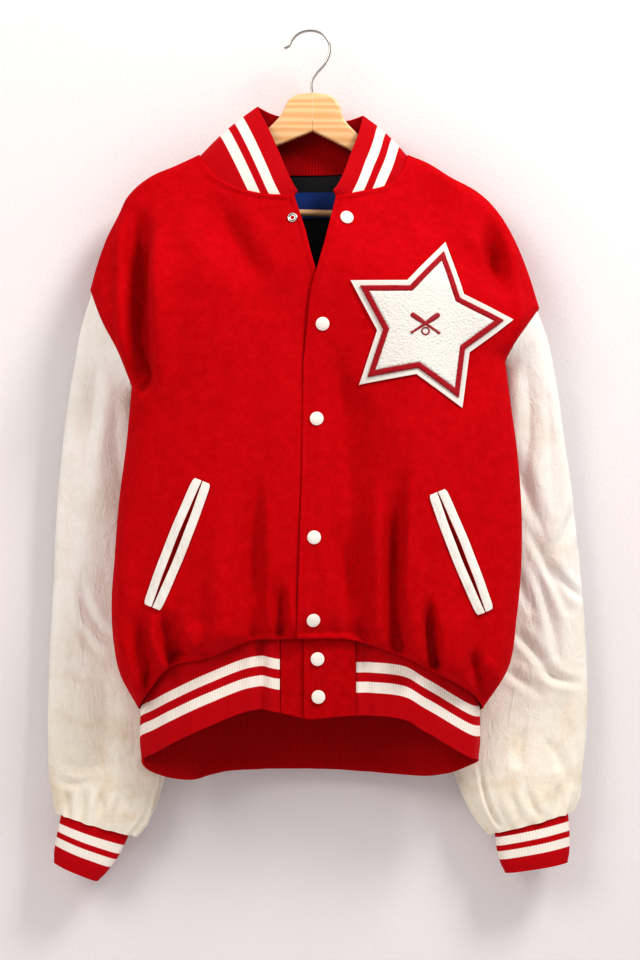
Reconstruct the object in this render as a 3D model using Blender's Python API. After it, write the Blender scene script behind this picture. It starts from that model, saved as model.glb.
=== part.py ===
"""Varsity jacket on a wooden hanger: wool body, leather sleeves, rib-knit collar, waistband and cuffs.

The origin is the inside of the hook's top, where it hangs. +X is the viewer's right, which is the
wearer's left, +Y points to the wall and +Z up. "right" and "left" in names are the wearer's.
Every table and size is in millimetres, and MM turns it to metres when a mesh is made.
"""

import math

import bmesh
import bpy
import numpy as np
from mathutils import Vector

MM = 0.001

# Walls of the cloth.
WOOL = 2.0
LEATHER = 1.5
RIB = 2.6
LINING = 1.0
FELT = 1.5
CHENILLE = 3.0
WELT = 1.8

# Seams: SEAM parts two pieces edge to edge, TUCK sets the under piece back where one laps another.
SEAM = 0.3
SEAM_SETBACK = {"front": -0.4, "back": 0.8}
TUCK = 3.6
LAP_UNDER = 3.5
ARMHOLE_TUCK = 7.2
FRONT_LIFT = 3.6

# Body outline. Columns: x, y, z of the fold or seam.
SHOULDER = {
    "right": [
        (-137, 0, -151),
        (-169, 0, -166),
        (-193, 0, -176),
        (-214, 0, -191),
        (-225, 0, -203),
        (-236, -1, -226),
        (-249, -3, -252),
        (-260, -5, -282),
        (-270, -6, -318),
    ],
    "left": [
        (120, 0, -151),
        (142, 0, -160),
        (175, 0, -180),
        (203, 0, -195),
        (218, 0, -207),
        (236, -1, -229),
        (250, -3, -254),
        (265, -5, -290),
        (281, -6, -340),
    ],
}
ARMHOLE = {
    "right": {
        "front": [(-270, -6, -318), (-252, -31, -360), (-234, -38, -393), (-217, -28, -437)],
        "back": [(-270, -6, -318), (-260, 15, -342), (-240, 20, -385), (-217, -28, -437)],
    },
    "left": {
        "front": [(281, -6, -340), (264, -31, -362), (246, -38, -388), (237, -28, -406)],
        "back": [(281, -6, -340), (274, 15, -360), (256, 20, -384), (237, -28, -406)],
    },
}
SIDE_SEAM = {
    "right": [
        (-217, -28, -437),
        (-223, -34, -508),
        (-231, -38, -573),
        (-237, -41, -652),
        (-240, -42, -696),
        (-238, -42, -744),
        (-231, -39, -783),
        (-208, -32, -829),
    ],
    "left": [
        (237, -28, -406),
        (243, -34, -456),
        (251, -38, -519),
        (256, -41, -600),
        (255, -42, -660),
        (250, -42, -715),
        (240, -39, -778),
        (209, -32, -829),
    ],
}

# How a panel turns in from its outline: radius of the fold and slope past it, at the start and the end
# of each stretch. Columns: radius start, radius end, slope start, slope end.
TURN = {
    "front": {
        "shoulder": (11, 18, 0.38, 0.34),
        "armhole": (18, 24, 0.30, 0.30),
        "side": (26, 40, 0.34, 0.34),
    },
    "back": {
        "shoulder": (11, 14, 0.14, 0.14),
        "armhole": (14, 12, 0.14, 0.14),
        "side": (12, 15, 0.30, 0.30),
    },
}

# Depth of the front along its middle. Columns: z, y.
FRONT_MIDDLE = [
    (-150, -62),
    (-208, -72),
    (-300, -80),
    (-400, -86),
    (-500, -92),
    (-600, -97),
    (-700, -100),
    (-830, -98),
]
FRONT_FALLOFF = 0.2
BODY_HALF = 235.0
# Depth of the back: its middle lies near the wall, its sides keep in front of the sleeves.
BACK_MIDDLE = 26.0
BACK_SIDE = -5.0
BACK_TUCK_X = (92.0, 158.0)
BACK_TUCK_Z = (-405.0, -455.0)
# How softly one depth changes to another, and how sharply the nearest bit of the outline counts.
SOFTNESS = 7.0
NEAREST_OFFSET = 4.0
NEAREST_POWER = -6

# Neck seam. Columns: x, z, on the front from the front edge to the shoulder and then across the back.
NECK_FRONT = {
    "right": [(-19, -209), (-59, -205), (-89, -196), (-116, -179), (-137, -151)],
    "left": [(31, -209), (65, -201), (92, -193), (109, -179), (120, -151)],
}
NECK_BACK = [(-137, -151), (-112, -157), (-64, -166), (0, -169), (56, -166), (98, -157), (120, -151)]

# Top edge of the collar, from the wearer's right front end round the back. Columns: x, y, z.
COLLAR_TOP = [
    (-16, -62, -204),
    (-26, -49, -182),
    (-38, -32, -152),
    (-53, -16, -117),
    (-65, -2, -92),
    (-48, 9, -99),
    (0, 15, -106),
    (48, 9, -107),
    (65, -2, -103),
    (60, -16, -124),
    (49, -32, -155),
    (39, -49, -184),
    (30, -60, -204),
]

# Front edges. Columns: z, x. The wearer's right front passes under the left one.
EDGE_UNDER = [(-209, -19), (-253, -5), (-278, 1), (-298, 7), (-325, 16), (-360, 24), (-745, 24)]
EDGE_OVER = [(-209, 31), (-267, 17), (-295, 9), (-322, 1), (-349, -2), (-411, -8), (-551, -10), (-745, -16)]
# Height at which the front edges meet the waistband.
FRONT_FOOT = -741.0

# Waist, as a closed loop from the middle of the front past the wearer's right.
# Columns: x, y, z of the body's lower edge, z of the waistband's lower edge.
WAIST = [
    (0, -80, -740, -836),
    (-39, -80, -741, -828),
    (-71, -79, -743, -826),
    (-123, -75, -764, -846),
    (-165, -66, -774, -866),
    (-191, -51, -802, -880),
    (-208, -32, -829, -891),
    (-196, -18, -829, -906),
    (-150, -11, -826, -917),
    (-100, 11, -821, -909),
    (0, 22, -820, -908),
    (75, 16, -822, -911),
    (150, -11, -826, -912),
    (197, -18, -829, -898),
    (209, -32, -829, -890),
    (192, -54, -806, -884),
    (139, -73, -776, -852),
    (108, -77, -761, -836),
    (52, -79.5, -742, -832),
]
SIDE_AT = {"right": 6, "left": 14}
BAND_HEIGHT = 98.0
WAIST_TUCK = 40.0
TAB_RIGHT_X = (-36.0, 20.0)
TAB_LEFT_X = (-8.0, 55.0)

# Sleeves. Columns: x, z of the outer edge, x, z of the inner edge, y of the middle, half depth.
SLEEVE = {
    "right": [
        (-282, -364, -214, -452, 3, 20),
        (-291, -412, -210, -484, 7, 19),
        (-303, -490, -195, -540, 12, 18),
        (-314, -590, -181, -620, 17, 18),
        (-320, -690, -174, -710, 20, 18),
        (-324, -790, -171, -800, 21, 19),
        (-324, -878, -173, -880, 19, 22),
        (-321, -925, -181, -928, 16, 25),
        (-314, -952, -195, -966, 12, 23),
        (-311, -962, -215, -990, 9, 18),
    ],
    "left": [
        (292, -378, 235, -425, 3, 20),
        (301, -420, 229, -460, 7, 19),
        (313, -500, 212, -530, 12, 18),
        (327, -590, 198, -610, 17, 18),
        (338, -690, 187, -705, 20, 18),
        (343, -785, 179, -795, 21, 19),
        (341, -860, 174, -870, 19, 22),
        (335, -915, 178, -917, 16, 25),
        (331, -942, 199, -962, 12, 23),
        (322, -960, 221, -987, 9, 18),
    ],
}
# Cuffs, with the columns of the sleeves, from the gathers down.
CUFF = {
    "right": [
        (-305, -955, -220, -980, 8, 14),
        (-311, -990, -239, -1017, 6, 14),
        (-317, -1022, -260, -1046, 4, 12),
    ],
    "left": [
        (317, -955, 227, -976, 8, 14),
        (318, -990, 231, -1008, 6, 14),
        (318, -1022, 238, -1035, 4, 13),
    ],
}

# Welt pockets. Columns: x, z of the top end, x, z of the bottom end.
POCKET = {"right": (-127, -552, -187, -702), "left": (150, -565, 208, -708)}
WELT_WIDTH = 12.5
WELT_GAP = 0.8
POCKET_SLIT = 3.0

# Letter patch: a five-pointed star.
STAR_CENTRE = (139, -368)
STAR_TILT = math.radians(-12.9)
STAR_REACH = 106.0
STAR_WAIST = 0.56
FELT_MARGIN = 8.0
OUTLINE_WIDTH = 8.0
PATCH_CLEARANCE = 2.3
# A margin square to the star's edge is this much longer along its points.
POINT_SPREAD = 1.6

# Snaps. Columns: x, z, gap from the front's smooth form, below 0 where a facet lies behind that form.
CAPS = [
    (44, -236, 0.5),
    (15, -365, 0.5),
    (8, -478, 0.5),
    (5, -619, 0.5),
    (4, -717, -0.6),
    (9, -764, 0.5),
    (10, -809, 0.5),
]
CAP_DIAMETER = 16.5
CAP_HEIGHT = 3.2
SOCKET = (-21, -237)
SOCKET_DIAMETER = 12.5
SOCKET_WIRE = 1.7
SOCKET_GAP = 0.5

# Lining behind the neck: half its width, and the heights of its top and foot.
LINING_HALF = 88.0
LINING_HEIGHTS = (-176.0, -420.0)
# Neck label: middle x and z, width and height.
LABEL = (10, -211, 62, 32)
# Gap that lets the label's few facets clear the lining's.
LABEL_CLEARANCE = 1.5

# Hanger.
HANGER_THICK = 11.4
HANGER_EDGE = 3.0
HANGER_JOINT_X = 3.0
ARM_UPPER = {
    "right": [
        (3, -75), (-20, -79), (-29, -87), (-34, -99), (-49, -116), (-90, -144),
        (-125, -162), (-169, -171), (-193, -181), (-209, -192), (-212, -203),
    ],
    "left": [
        (3, -75), (27, -80), (36, -91), (40, -104), (60, -127), (90, -151),
        (111, -164), (142, -171), (175, -185), (203, -201), (213, -212),
    ],
}
ARM_LOWER = {
    "right": [(-208, -227), (-197, -228), (-197, -207), (-150, -185), (-100, -165), (-39, -140), (3, -123)],
    "left": [(210, -233), (199.5, -234), (199.5, -217), (150, -197), (100, -173), (53, -148), (3, -123)],
}
BAR_DIAMETER = 9.0
BAR_ENDS = ((-196.6, -219.5), (199.1, -226.0))
HOOK_WIRE = 3.2
HOOK = [
    (2, -74.4),
    (2, -60),
    (7, -52),
    (18, -39),
    (24, -24),
    (22, -11),
    (13, -1.5),
    (0, 1.6),
    (-14, -2),
    (-23, -11),
    (-27, -18),
    (-32, -20),
]

# Fineness of the cloth.
SHOULDER_STEPS = 6
ARMHOLE_STEPS = 3
SIDE_STEPS = 8
FRONT_COLUMNS = 15
BACK_COLUMNS = 24
TUBE_SIDES = 20
# How much closer the columns and rows lie towards the outline and the waist.
COLUMN_CROWDING = 2.1
ROW_CROWDING = 1.5
# Shares of the way down the front edge that lie level with the armhole's top and foot.
ARMHOLE_LEVELS = (0.25, 0.42)


# ---------------------------------------------------------------- curves


def spline(rows, at):
    """Points at the parameters `at`, from 0 to 1 along the chords, of a smooth curve through the rows."""
    rows = np.array(rows, float)
    at = np.asarray(at, float)
    chords = np.linalg.norm(np.diff(rows, axis=0), axis=1)
    knots = np.concatenate([[0.0], np.cumsum(chords)]) / chords.sum()
    slopes = np.gradient(rows, knots, axis=0)
    low = np.clip(np.searchsorted(knots, at, side="right") - 1, 0, len(rows) - 2)
    span = (knots[low + 1] - knots[low])[:, None]
    t = (at[:, None] - knots[low][:, None]) / span
    start = (1 + 2 * t) * (1 - t) ** 2 * rows[low] + t * (1 - t) ** 2 * span * slopes[low]
    end = t**2 * (3 - 2 * t) * rows[low + 1] + t**2 * (t - 1) * span * slopes[low + 1]
    return start + end


def closed_spline(rows, count):
    """`count` points evenly spaced in row number on a smooth loop through the rows, and their row numbers."""
    rows = np.array(rows, float)
    at = np.arange(count) * len(rows) / count
    low = at.astype(int)
    t = (at - low)[:, None]
    before, here = rows[(low - 1) % len(rows)], rows[low % len(rows)]
    after, beyond = rows[(low + 1) % len(rows)], rows[(low + 2) % len(rows)]
    points = 0.5 * (
        2 * here
        + (after - before) * t
        + (2 * before - 5 * here + 4 * after - beyond) * t**2
        + (3 * here - before - 3 * after + beyond) * t**3
    )
    return points, at


def smoothstep(low, high, value):
    t = np.clip((value - low) / (high - low), 0.0, 1.0)
    return t * t * (3 - 2 * t)


def quarter_round(t):
    """Height of a quarter circle over its foot, for t from 0 to 1."""
    return math.sqrt(max(0.0, 1 - (1 - min(max(t, 0.0), 1.0)) ** 2))


def lesser(a, b):
    """The smaller of two depths, with a soft change from one to the other."""
    m = min(a, b)
    return m - SOFTNESS * math.log(math.exp((m - a) / SOFTNESS) + math.exp((m - b) / SOFTNESS))


# ---------------------------------------------------------------- form of the body


def outline(face):
    """Points of both sides' shoulder, armhole and side seam, with the radius and the slope there."""
    points, radii, slopes = [], [], []
    along = np.linspace(0, 1, 50)
    for side in ("right", "left"):
        stretches = {
            "shoulder": SHOULDER[side],
            "armhole": ARMHOLE[side][face],
            "side": SIDE_SEAM[side],
        }
        for name, rows in stretches.items():
            radius_start, radius_end, slope_start, slope_end = TURN[face][name]
            points.append(spline(rows, along))
            radii.append(np.interp(along, (0, 1), (radius_start, radius_end)))
            slopes.append(np.interp(along, (0, 1), (slope_start, slope_end)))
    return np.concatenate(points), np.concatenate(radii), np.concatenate(slopes)


OUTLINES = {face: outline(face) for face in ("front", "back")}


def waist_half(face):
    """The waist's rows along the front or the back, by rising x."""
    loop, row = closed_spline(WAIST, 380)
    at_back = (row >= SIDE_AT["right"]) & (row <= SIDE_AT["left"])
    half = loop[at_back if face == "back" else ~at_back]
    return half[np.argsort(half[:, 0])]


WAIST_HALVES = {face: waist_half(face) for face in ("front", "back")}


def waist_at(face, x):
    """y and z of the body's lower edge at x."""
    half = WAIST_HALVES[face]
    return np.interp(x, half[:, 0], half[:, 1]), np.interp(x, half[:, 0], half[:, 2])


def middle_depth(face, x, z):
    """y of the panel well inside its outline."""
    if face == "front":
        zs, ys = zip(*reversed(FRONT_MIDDLE))
        return float(np.interp(z, zs, ys)) * (1 - FRONT_FALLOFF * (x / BODY_HALF) ** 2)
    tucked = smoothstep(*BACK_TUCK_X, abs(x)) * smoothstep(-BACK_TUCK_Z[0], -BACK_TUCK_Z[1], -z)
    return BACK_MIDDLE + (BACK_SIDE - BACK_MIDDLE) * float(tucked)


def body_y(face, x, z):
    """y of the body's outer surface at x, z: it turns in at the outline and draws in above the waist."""
    points, radii, slopes = OUTLINES[face]
    away = np.hypot(points[:, 0] - x, points[:, 2] - z)
    weight = (away + NEAREST_OFFSET) ** NEAREST_POWER
    weight /= weight.sum()
    edge_y, radius, slope = weight @ points[:, 1], weight @ radii, weight @ slopes
    rise = radius * quarter_round(away.min() / radius) + slope * away.min()
    outward = -1 if face == "front" else 1
    full = outward * (middle_depth(face, x, z) - edge_y)
    y = edge_y + outward * lesser(rise, full)
    waist_y, waist_z = waist_at(face, x)
    share = quarter_round((z - waist_z) / WAIST_TUCK)
    return waist_y + (y - waist_y) * share


def over_lift(x):
    """How far the over front stands forward, so that the other passes under it."""
    return FRONT_LIFT * (1 - float(smoothstep(45, 110, x)))


def front_y(side, x, z):
    y = body_y("front", x, z)
    return y - over_lift(x) if side == "left" else y


def front_normal(side, x, z):
    """Unit vector out of the front at x, z."""
    step = 3.0
    slope_x = (front_y(side, x + step, z) - front_y(side, x - step, z)) / (2 * step)
    slope_z = (front_y(side, x, z + step) - front_y(side, x, z - step)) / (2 * step)
    return np.array(Vector((slope_x, -1.0, slope_z)).normalized())


# ---------------------------------------------------------------- meshes


def material(name, colour, roughness, metallic=0.0):
    made = bpy.data.materials.get(name)
    if made is None:
        made = bpy.data.materials.new(name)
        made.use_nodes = True
        shader = made.node_tree.nodes["Principled BSDF"]
        shader.inputs["Base Color"].default_value = (*colour, 1.0)
        shader.inputs["Roughness"].default_value = roughness
        shader.inputs["Metallic"].default_value = metallic
    return made


def add_object(name, bm, finish):
    mesh = bpy.data.meshes.new(name)
    bm.to_mesh(mesh)
    bm.free()
    mesh.shade_smooth()
    mesh.set_sharp_from_angle(angle=math.radians(40))
    mesh.materials.append(finish)
    made = bpy.data.objects.new(name, mesh)
    bpy.context.collection.objects.link(made)
    return made


def cloth(name, grid, wall, finish, outward, closed=False):
    """A wall of cloth whose outer face passes through the grid's points, rows by columns.

    outward(point) is the way out of the piece near a point, and sets which face is the outer one."""
    grid = np.array(grid, float) * MM
    rows, columns = grid.shape[:2]
    bm = bmesh.new()
    bmesh.ops.create_grid(bm, x_segments=columns - 1, y_segments=rows - 1, size=1.0)
    for vertex, point in zip(bm.verts, grid.reshape(-1, 3)):
        vertex.co = point
    if closed:
        bmesh.ops.remove_doubles(bm, verts=bm.verts, dist=1e-6)
    bm.normal_update()
    agree = 0.0
    for face in bm.faces:
        agree += face.calc_area() * face.normal.dot(outward(face.calc_center_median() / MM))
    if agree < 0:
        bmesh.ops.reverse_faces(bm, faces=bm.faces)
    made = add_object(name, bm, finish)
    solid = made.modifiers.new("Wall", "SOLIDIFY")
    solid.thickness = wall * MM
    solid.offset = -1.0
    solid.use_quality_normals = True
    return made


def forwards(_point):
    return Vector((0, -1, 0))


def backwards(_point):
    return Vector((0, 1, 0))


def from_axis(point):
    """Away from the upright line inside the jacket."""
    return Vector((point.x, point.y + 25, 0))


def coons(top, bottom, first, last):
    """Points in x and z between four edges: top and bottom by columns, first and last by rows.

    Rows and columns keep the spacing of the edges, measured along them."""
    v = np.linspace(0, 1, len(first))[:, None, None]
    u = share_along(top)[None, :, None] * (1 - v) + share_along(bottom)[None, :, None] * v
    across = (1 - u) * first[:, None] + u * last[:, None]
    down = share_along(last)[:, None, None]
    along = (1 - down) * top[None] + down * bottom[None]
    corners = (
        (1 - u) * (1 - down) * top[0] + u * (1 - down) * top[-1]
        + (1 - u) * down * bottom[0] + u * down * bottom[-1]
    )
    return across + along - corners


def share_along(points):
    chords = np.linalg.norm(np.diff(points, axis=0), axis=1)
    return np.concatenate([[0.0], np.cumsum(chords)]) / chords.sum()


# ---------------------------------------------------------------- body


def outer_edge(side, face):
    """x, y, z down the shoulder, the armhole and the side seam, a row of the panel at each."""
    shoulder = spline(SHOULDER[side], np.linspace(0, 1, SHOULDER_STEPS + 1))
    armhole = spline(ARMHOLE[side][face], np.linspace(0, 1, ARMHOLE_STEPS + 1))
    seam = spline(SIDE_SEAM[side], crowd_to_edge(SIDE_STEPS, ROW_CROWDING))
    edge = np.concatenate([shoulder, armhole[1:], seam[1:]])
    edge[:, 1] += SEAM_SETBACK[face]
    return edge


def row_heights(top, bottom):
    """Heights of the rows at the middle of the body, to go with those of the outer edge."""
    armhole_top, armhole_foot = (top + (bottom - top) * share for share in ARMHOLE_LEVELS)
    above = np.linspace(top, armhole_top, SHOULDER_STEPS + 1)
    beside = np.linspace(armhole_top, armhole_foot, ARMHOLE_STEPS + 1)
    below = armhole_foot + (bottom - armhole_foot) * crowd_to_edge(SIDE_STEPS, ROW_CROWDING)
    return np.concatenate([above, beside[1:], below[1:]])


def crowd_to_edge(count, power):
    """Shares from 0 to 1 that lie closer together towards 1."""
    return 1 - (1 - np.linspace(0, 1, count + 1)) ** power


def make_front(side, finish):
    edge_rows = sorted(EDGE_UNDER if side == "right" else EDGE_OVER)
    neck = spline(NECK_FRONT[side], crowd_to_edge(FRONT_COLUMNS, COLUMN_CROWDING))
    last = outer_edge(side, "front")
    edge_z, edge_x = zip(*edge_rows)
    start_x = np.interp(FRONT_FOOT, edge_z, edge_x)
    bottom_x = start_x + (last[-1, 0] - start_x) * crowd_to_edge(FRONT_COLUMNS, COLUMN_CROWDING)
    bottom = np.array([(x, waist_at("front", x)[1]) for x in bottom_x])
    bottom[-1] = last[-1, [0, 2]]
    first_z = row_heights(neck[0, 1], bottom[0, 1])
    first = np.array([(np.interp(z, edge_z, edge_x), z) for z in first_z])
    first[0] = neck[0]
    flat = coons(neck, bottom, first, last[:, [0, 2]])
    grid = [[(x, front_y(side, x, z), z) for x, z in row] for row in flat]
    for row, point in zip(grid, last):
        row[-1] = tuple(point)
    cloth(f"front_{side}", grid, WOOL, finish, forwards)


def make_back(finish):
    half = crowd_to_edge(BACK_COLUMNS // 2, COLUMN_CROWDING) / 2
    spread = np.concatenate([0.5 - half[::-1], 0.5 + half[1:]])
    neck = spline(NECK_BACK, spread)
    first, last = outer_edge("right", "back"), outer_edge("left", "back")
    bottom_x = first[-1, 0] + (last[-1, 0] - first[-1, 0]) * spread
    bottom = np.array([(x, waist_at("back", x)[1]) for x in bottom_x])
    flat = coons(neck, bottom, first[:, [0, 2]], last[:, [0, 2]])
    grid = [[(x, body_y("back", x, z), z) for x, z in row] for row in flat]
    for row, start, end in zip(grid, first, last):
        row[0], row[-1] = tuple(start), tuple(end)
    cloth("back", grid, WOOL, finish, backwards)


def make_lining(finish):
    """The lining shows inside the back of the neck only."""
    xs, zs = np.linspace(-LINING_HALF, LINING_HALF, 9), np.linspace(*LINING_HEIGHTS, 7)
    inset = WOOL + 2 * SEAM
    grid = [[(x, body_y("back", x, z) - inset, z) for x in xs] for z in zs]
    cloth("lining_back", grid, LINING, finish, backwards)


def make_label(finish):
    x, z, width, height = LABEL
    inset = WOOL + LINING + LABEL_CLEARANCE
    xs, zs = np.linspace(x - width / 2, x + width / 2, 3), np.linspace(z + height / 2, z - height / 2, 3)
    grid = [[(a, body_y("back", a, b) - inset, b) for a in xs] for b in zs]
    cloth("neck_label", grid, LINING / 2, finish, backwards)


# ---------------------------------------------------------------- collar, waistband and cuffs


def towards_inside(point, distance):
    """The point moved into the jacket, square to the cloth round the neck."""
    way = Vector((-0.04 * point[0], -point[1], -4.0)).normalized()
    return np.array(point) + distance * np.array(way)


def collar_seam(steps):
    """Points on the body's neck seam, from the wearer's right front end round the back."""
    front_steps, back_steps = steps
    right = spline(NECK_FRONT["right"], np.linspace(0, 1, front_steps + 1))
    back = spline(NECK_BACK, np.linspace(0, 1, back_steps + 1))
    left = spline(NECK_FRONT["left"], np.linspace(0, 1, front_steps + 1))[::-1]
    points = [(x, front_y("right", x, z), z) for x, z in right]
    points[-1] = (right[-1][0], 0.0, right[-1][1])
    points += [(x, body_y("back", x, z), z) for x, z in back[1:-1]]
    points += [(x, front_y("left", x, z), z) for x, z in left]
    points[-len(left)] = (left[0][0], 0.0, left[0][1])
    return np.array(points)


def make_collar(finish):
    front_steps, back_steps = 8, 12
    seam = collar_seam((front_steps, back_steps))
    tops = np.concatenate([
        spline(COLLAR_TOP[:5], np.linspace(0, 1, front_steps + 1)),
        spline(COLLAR_TOP[4:9], np.linspace(0, 1, back_steps + 1))[1:-1],
        spline(COLLAR_TOP[8:], np.linspace(0, 1, front_steps + 1)),
    ])
    foot = []
    for point, top in zip(seam, tops):
        onward = Vector(point - top).normalized()
        foot.append(towards_inside(point, TUCK) + LAP_UNDER * np.array(onward))
    foot = np.array(foot)
    grid = [tops + share * (foot - tops) for share in np.linspace(0, 1, 5)]
    cloth("collar_rib", grid, RIB, finish, lambda point: Vector((point.x, point.y + 20, 30)))


def waist_band_point(row, share, inset):
    """A point of the waistband: row is a row number of WAIST, share runs from its top to its lower edge."""
    count = 1900
    loop, _ = closed_spline(WAIST, count)
    tangent = np.roll(loop, -4, axis=0)[:, :2] - np.roll(loop, 4, axis=0)[:, :2]
    at = int(round(row / len(WAIST) * count)) % count
    inward = Vector((tangent[at, 1], -tangent[at, 0])).normalized()
    x, y, _, low = loop[at]
    return np.array((x + inset * inward.x, y + inset * inward.y, low + (1 - share) * BAND_HEIGHT))


def waist_row_at(x, last_rows):
    """Row number of WAIST where the front passes x, past the wearer's right or, with last_rows, the left."""
    rows = np.linspace(13, len(WAIST), 400) if last_rows else np.linspace(0, SIDE_AT["right"], 400)
    xs = [waist_band_point(row, 0, 0)[0] for row in rows]
    return float(rows[int(np.argmin(np.abs(np.array(xs) - x)))])


def band_grid(rows, inset):
    """Rows by columns of a stretch of the waistband."""
    return [[waist_band_point(row, share, inset) for row in rows] for share in np.linspace(0, 1, 4)]


def make_waistband(rib, wool):
    start = waist_row_at(TAB_RIGHT_X[0] - SEAM, last_rows=False)
    end = waist_row_at(TAB_LEFT_X[1] + SEAM, last_rows=True)
    cloth("waistband_rib", band_grid(np.linspace(start, end, 37), TUCK), RIB, rib, from_axis)
    spans = {"right": (TAB_RIGHT_X, 0.0), "left": (TAB_LEFT_X, FRONT_LIFT)}
    for side, ((low_x, high_x), lift) in spans.items():
        xs = np.linspace(low_x + SEAM, high_x - SEAM, 5)
        loop, _ = closed_spline(WAIST, 380)
        front = loop[np.argsort(loop[:, 0])]
        front = front[front[:, 1] < -60]
        y = np.interp(xs, front[:, 0], front[:, 1]) + TUCK - lift
        low = np.interp(xs, front[:, 0], front[:, 3])
        top = np.interp(xs, front[:, 0], front[:, 2]) - 2 * SEAM
        grid = [np.stack([xs, y, top + share * (low - top)], axis=1) for share in np.linspace(0, 1, 4)]
        cloth(f"band_tab_{side}", grid, RIB, wool, forwards)


def oval(row, grow=0.0):
    """A ring of a sleeve or cuff: from its outer edge past the front to its inner edge and back."""
    outer_x, outer_z, inner_x, inner_z, y, half_depth = row
    centre = np.array(((outer_x + inner_x) / 2, y, (outer_z + inner_z) / 2))
    reach = np.array(((outer_x - inner_x) / 2, 0.0, (outer_z - inner_z) / 2))
    reach *= 1 + grow / np.linalg.norm(reach)
    depth = np.array((0.0, -(half_depth + grow), 0.0))
    angles = np.linspace(0, 2 * math.pi, TUBE_SIDES + 1)
    return [centre + math.cos(a) * reach + math.sin(a) * depth for a in angles]


def from_line(rows):
    """A function that points away from the middle line through the rows of a tube."""
    middles = sorted(((row[1] + row[3]) / 2, (row[0] + row[2]) / 2, row[4]) for row in rows)
    zs, xs, ys = zip(*middles)

    def outward(point):
        return Vector((point.x - np.interp(point.z, zs, xs), point.y - np.interp(point.z, zs, ys), 0))

    return outward


def armhole_ring(side):
    """The sleeve's first ring, set in under the edge of the body."""
    front = spline(ARMHOLE[side]["front"], np.linspace(0, 1, TUBE_SIDES // 2 + 1))
    back = spline(ARMHOLE[side]["back"], np.linspace(0, 1, TUBE_SIDES // 2 + 1))[::-1]
    ring = np.concatenate([front, back[1:]])
    centre = ring[:-1].mean(axis=0)
    inwards = centre - ring
    inwards /= np.linalg.norm(inwards, axis=1)[:, None]
    return ring + ARMHOLE_TUCK * inwards


def make_sleeve(side, leather, rib):
    rings = [armhole_ring(side)] + [oval(row) for row in SLEEVE[side]]
    cloth(f"sleeve_{side}", rings, LEATHER, leather, from_line(SLEEVE[side]), closed=True)
    cuff = CUFF[side]
    cloth(f"cuff_{side}", [oval(row) for row in cuff], RIB, rib, from_line(cuff), closed=True)


# ---------------------------------------------------------------- what lies on the fronts


def on_front(side, flat, stand_off):
    """The flat points laid on a front panel and moved out of it."""
    laid = []
    for row in flat:
        laid.append([
            np.array((x, front_y(side, x, z), z)) + stand_off * front_normal(side, x, z) for x, z in row
        ])
    return laid


def make_welts(finish):
    for side, (top_x, top_z, low_x, low_z) in POCKET.items():
        along = Vector((low_x - top_x, low_z - top_z))
        length = along.length
        along.normalize()
        across = Vector((-along.y, along.x))
        for name, sign in (("outer", -1), ("inner", 1)):
            sign *= 1 if side == "right" else -1
            flat = []
            for share in np.linspace(0, 1, 9):
                # Each strip bows away from the slit, and rounds off at its two ends.
                bow = math.sin(math.pi * share)
                near = SEAM + POCKET_SLIT / 2 * bow
                far = near + WELT_WIDTH * (0.55 + 0.45 * quarter_round(4 * min(share, 1 - share)))
                spine = Vector((top_x, top_z)) + along * (share * length)
                flat.append([tuple(spine + across * (sign * reach)) for reach in np.linspace(near, far, 3)])
            cloth(f"welt_{side}_{name}", on_front(side, flat, WELT + WELT_GAP), WELT, finish, forwards)


def star_point(share, angle):
    """x and z on the front, at a share of the way out to the star's outline."""
    step = math.pi / 5
    turned = (angle / step) % 2
    turned = turned if turned <= 1 else 2 - turned
    tip = np.array((1.0, 0.0))
    notch = STAR_WAIST * np.array((math.cos(step), math.sin(step)))
    way = np.array((math.cos(turned * step), math.sin(turned * step)))
    side = notch - tip
    reach = (tip[0] * side[1] - tip[1] * side[0]) / (way[0] * side[1] - way[1] * side[0])
    heading = math.pi / 2 + angle + STAR_TILT
    out = share * reach
    return STAR_CENTRE[0] + out * math.cos(heading), STAR_CENTRE[1] + out * math.sin(heading)


def star_rings(outer, inner, rings, points=30):
    """Rings of points from the outer reach in to the inner one, each turned once round the star."""
    angles = [2 * math.pi * i / points for i in range(points + 1)]
    reaches = np.linspace(outer, inner, rings + 1)
    return [[star_point(reach, angle) for angle in angles] for reach in reaches]


def make_star(felt, red, white):
    outline_reach = STAR_REACH - FELT_MARGIN * POINT_SPREAD
    fill_reach = outline_reach - OUTLINE_WIDTH * POINT_SPREAD
    lift = PATCH_CLEARANCE + FELT
    top = lift + 2 * SEAM + CHENILLE
    pieces = (
        ("patch_felt", STAR_REACH, 3.0, 4, lift, FELT, felt),
        ("patch_outline", outline_reach, fill_reach + 3 * SEAM, 1, top, CHENILLE, red),
        ("patch_fill", fill_reach, 3.0, 3, top, CHENILLE, white),
    )
    for name, outer, inner, rings, stand_off, wall, finish in pieces:
        flat = star_rings(outer, inner, rings)
        cloth(name, on_front("left", flat, stand_off), wall, finish, forwards, closed=True)


def turned(name, profile, place, out, finish, sides=20):
    """A body of revolution. The profile's columns are radius and height along `out` from `place`."""
    bm = bmesh.new()
    points = [bm.verts.new((radius * MM, 0, height * MM)) for radius, height in profile]
    edges = [bm.edges.new(pair) for pair in zip(points, points[1:])]
    bmesh.ops.spin(
        bm, geom=points + edges, cent=(0, 0, 0), axis=(0, 0, 1), angle=2 * math.pi, steps=sides,
        use_merge=True,
    )
    bmesh.ops.remove_doubles(bm, verts=bm.verts, dist=1e-6)
    bmesh.ops.recalc_face_normals(bm, faces=bm.faces)
    made = add_object(name, bm, finish)
    made.rotation_mode = "QUATERNION"
    made.rotation_quaternion = Vector(out).to_track_quat("Z", "Y")
    made.location = Vector(place) * MM
    return made


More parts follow.
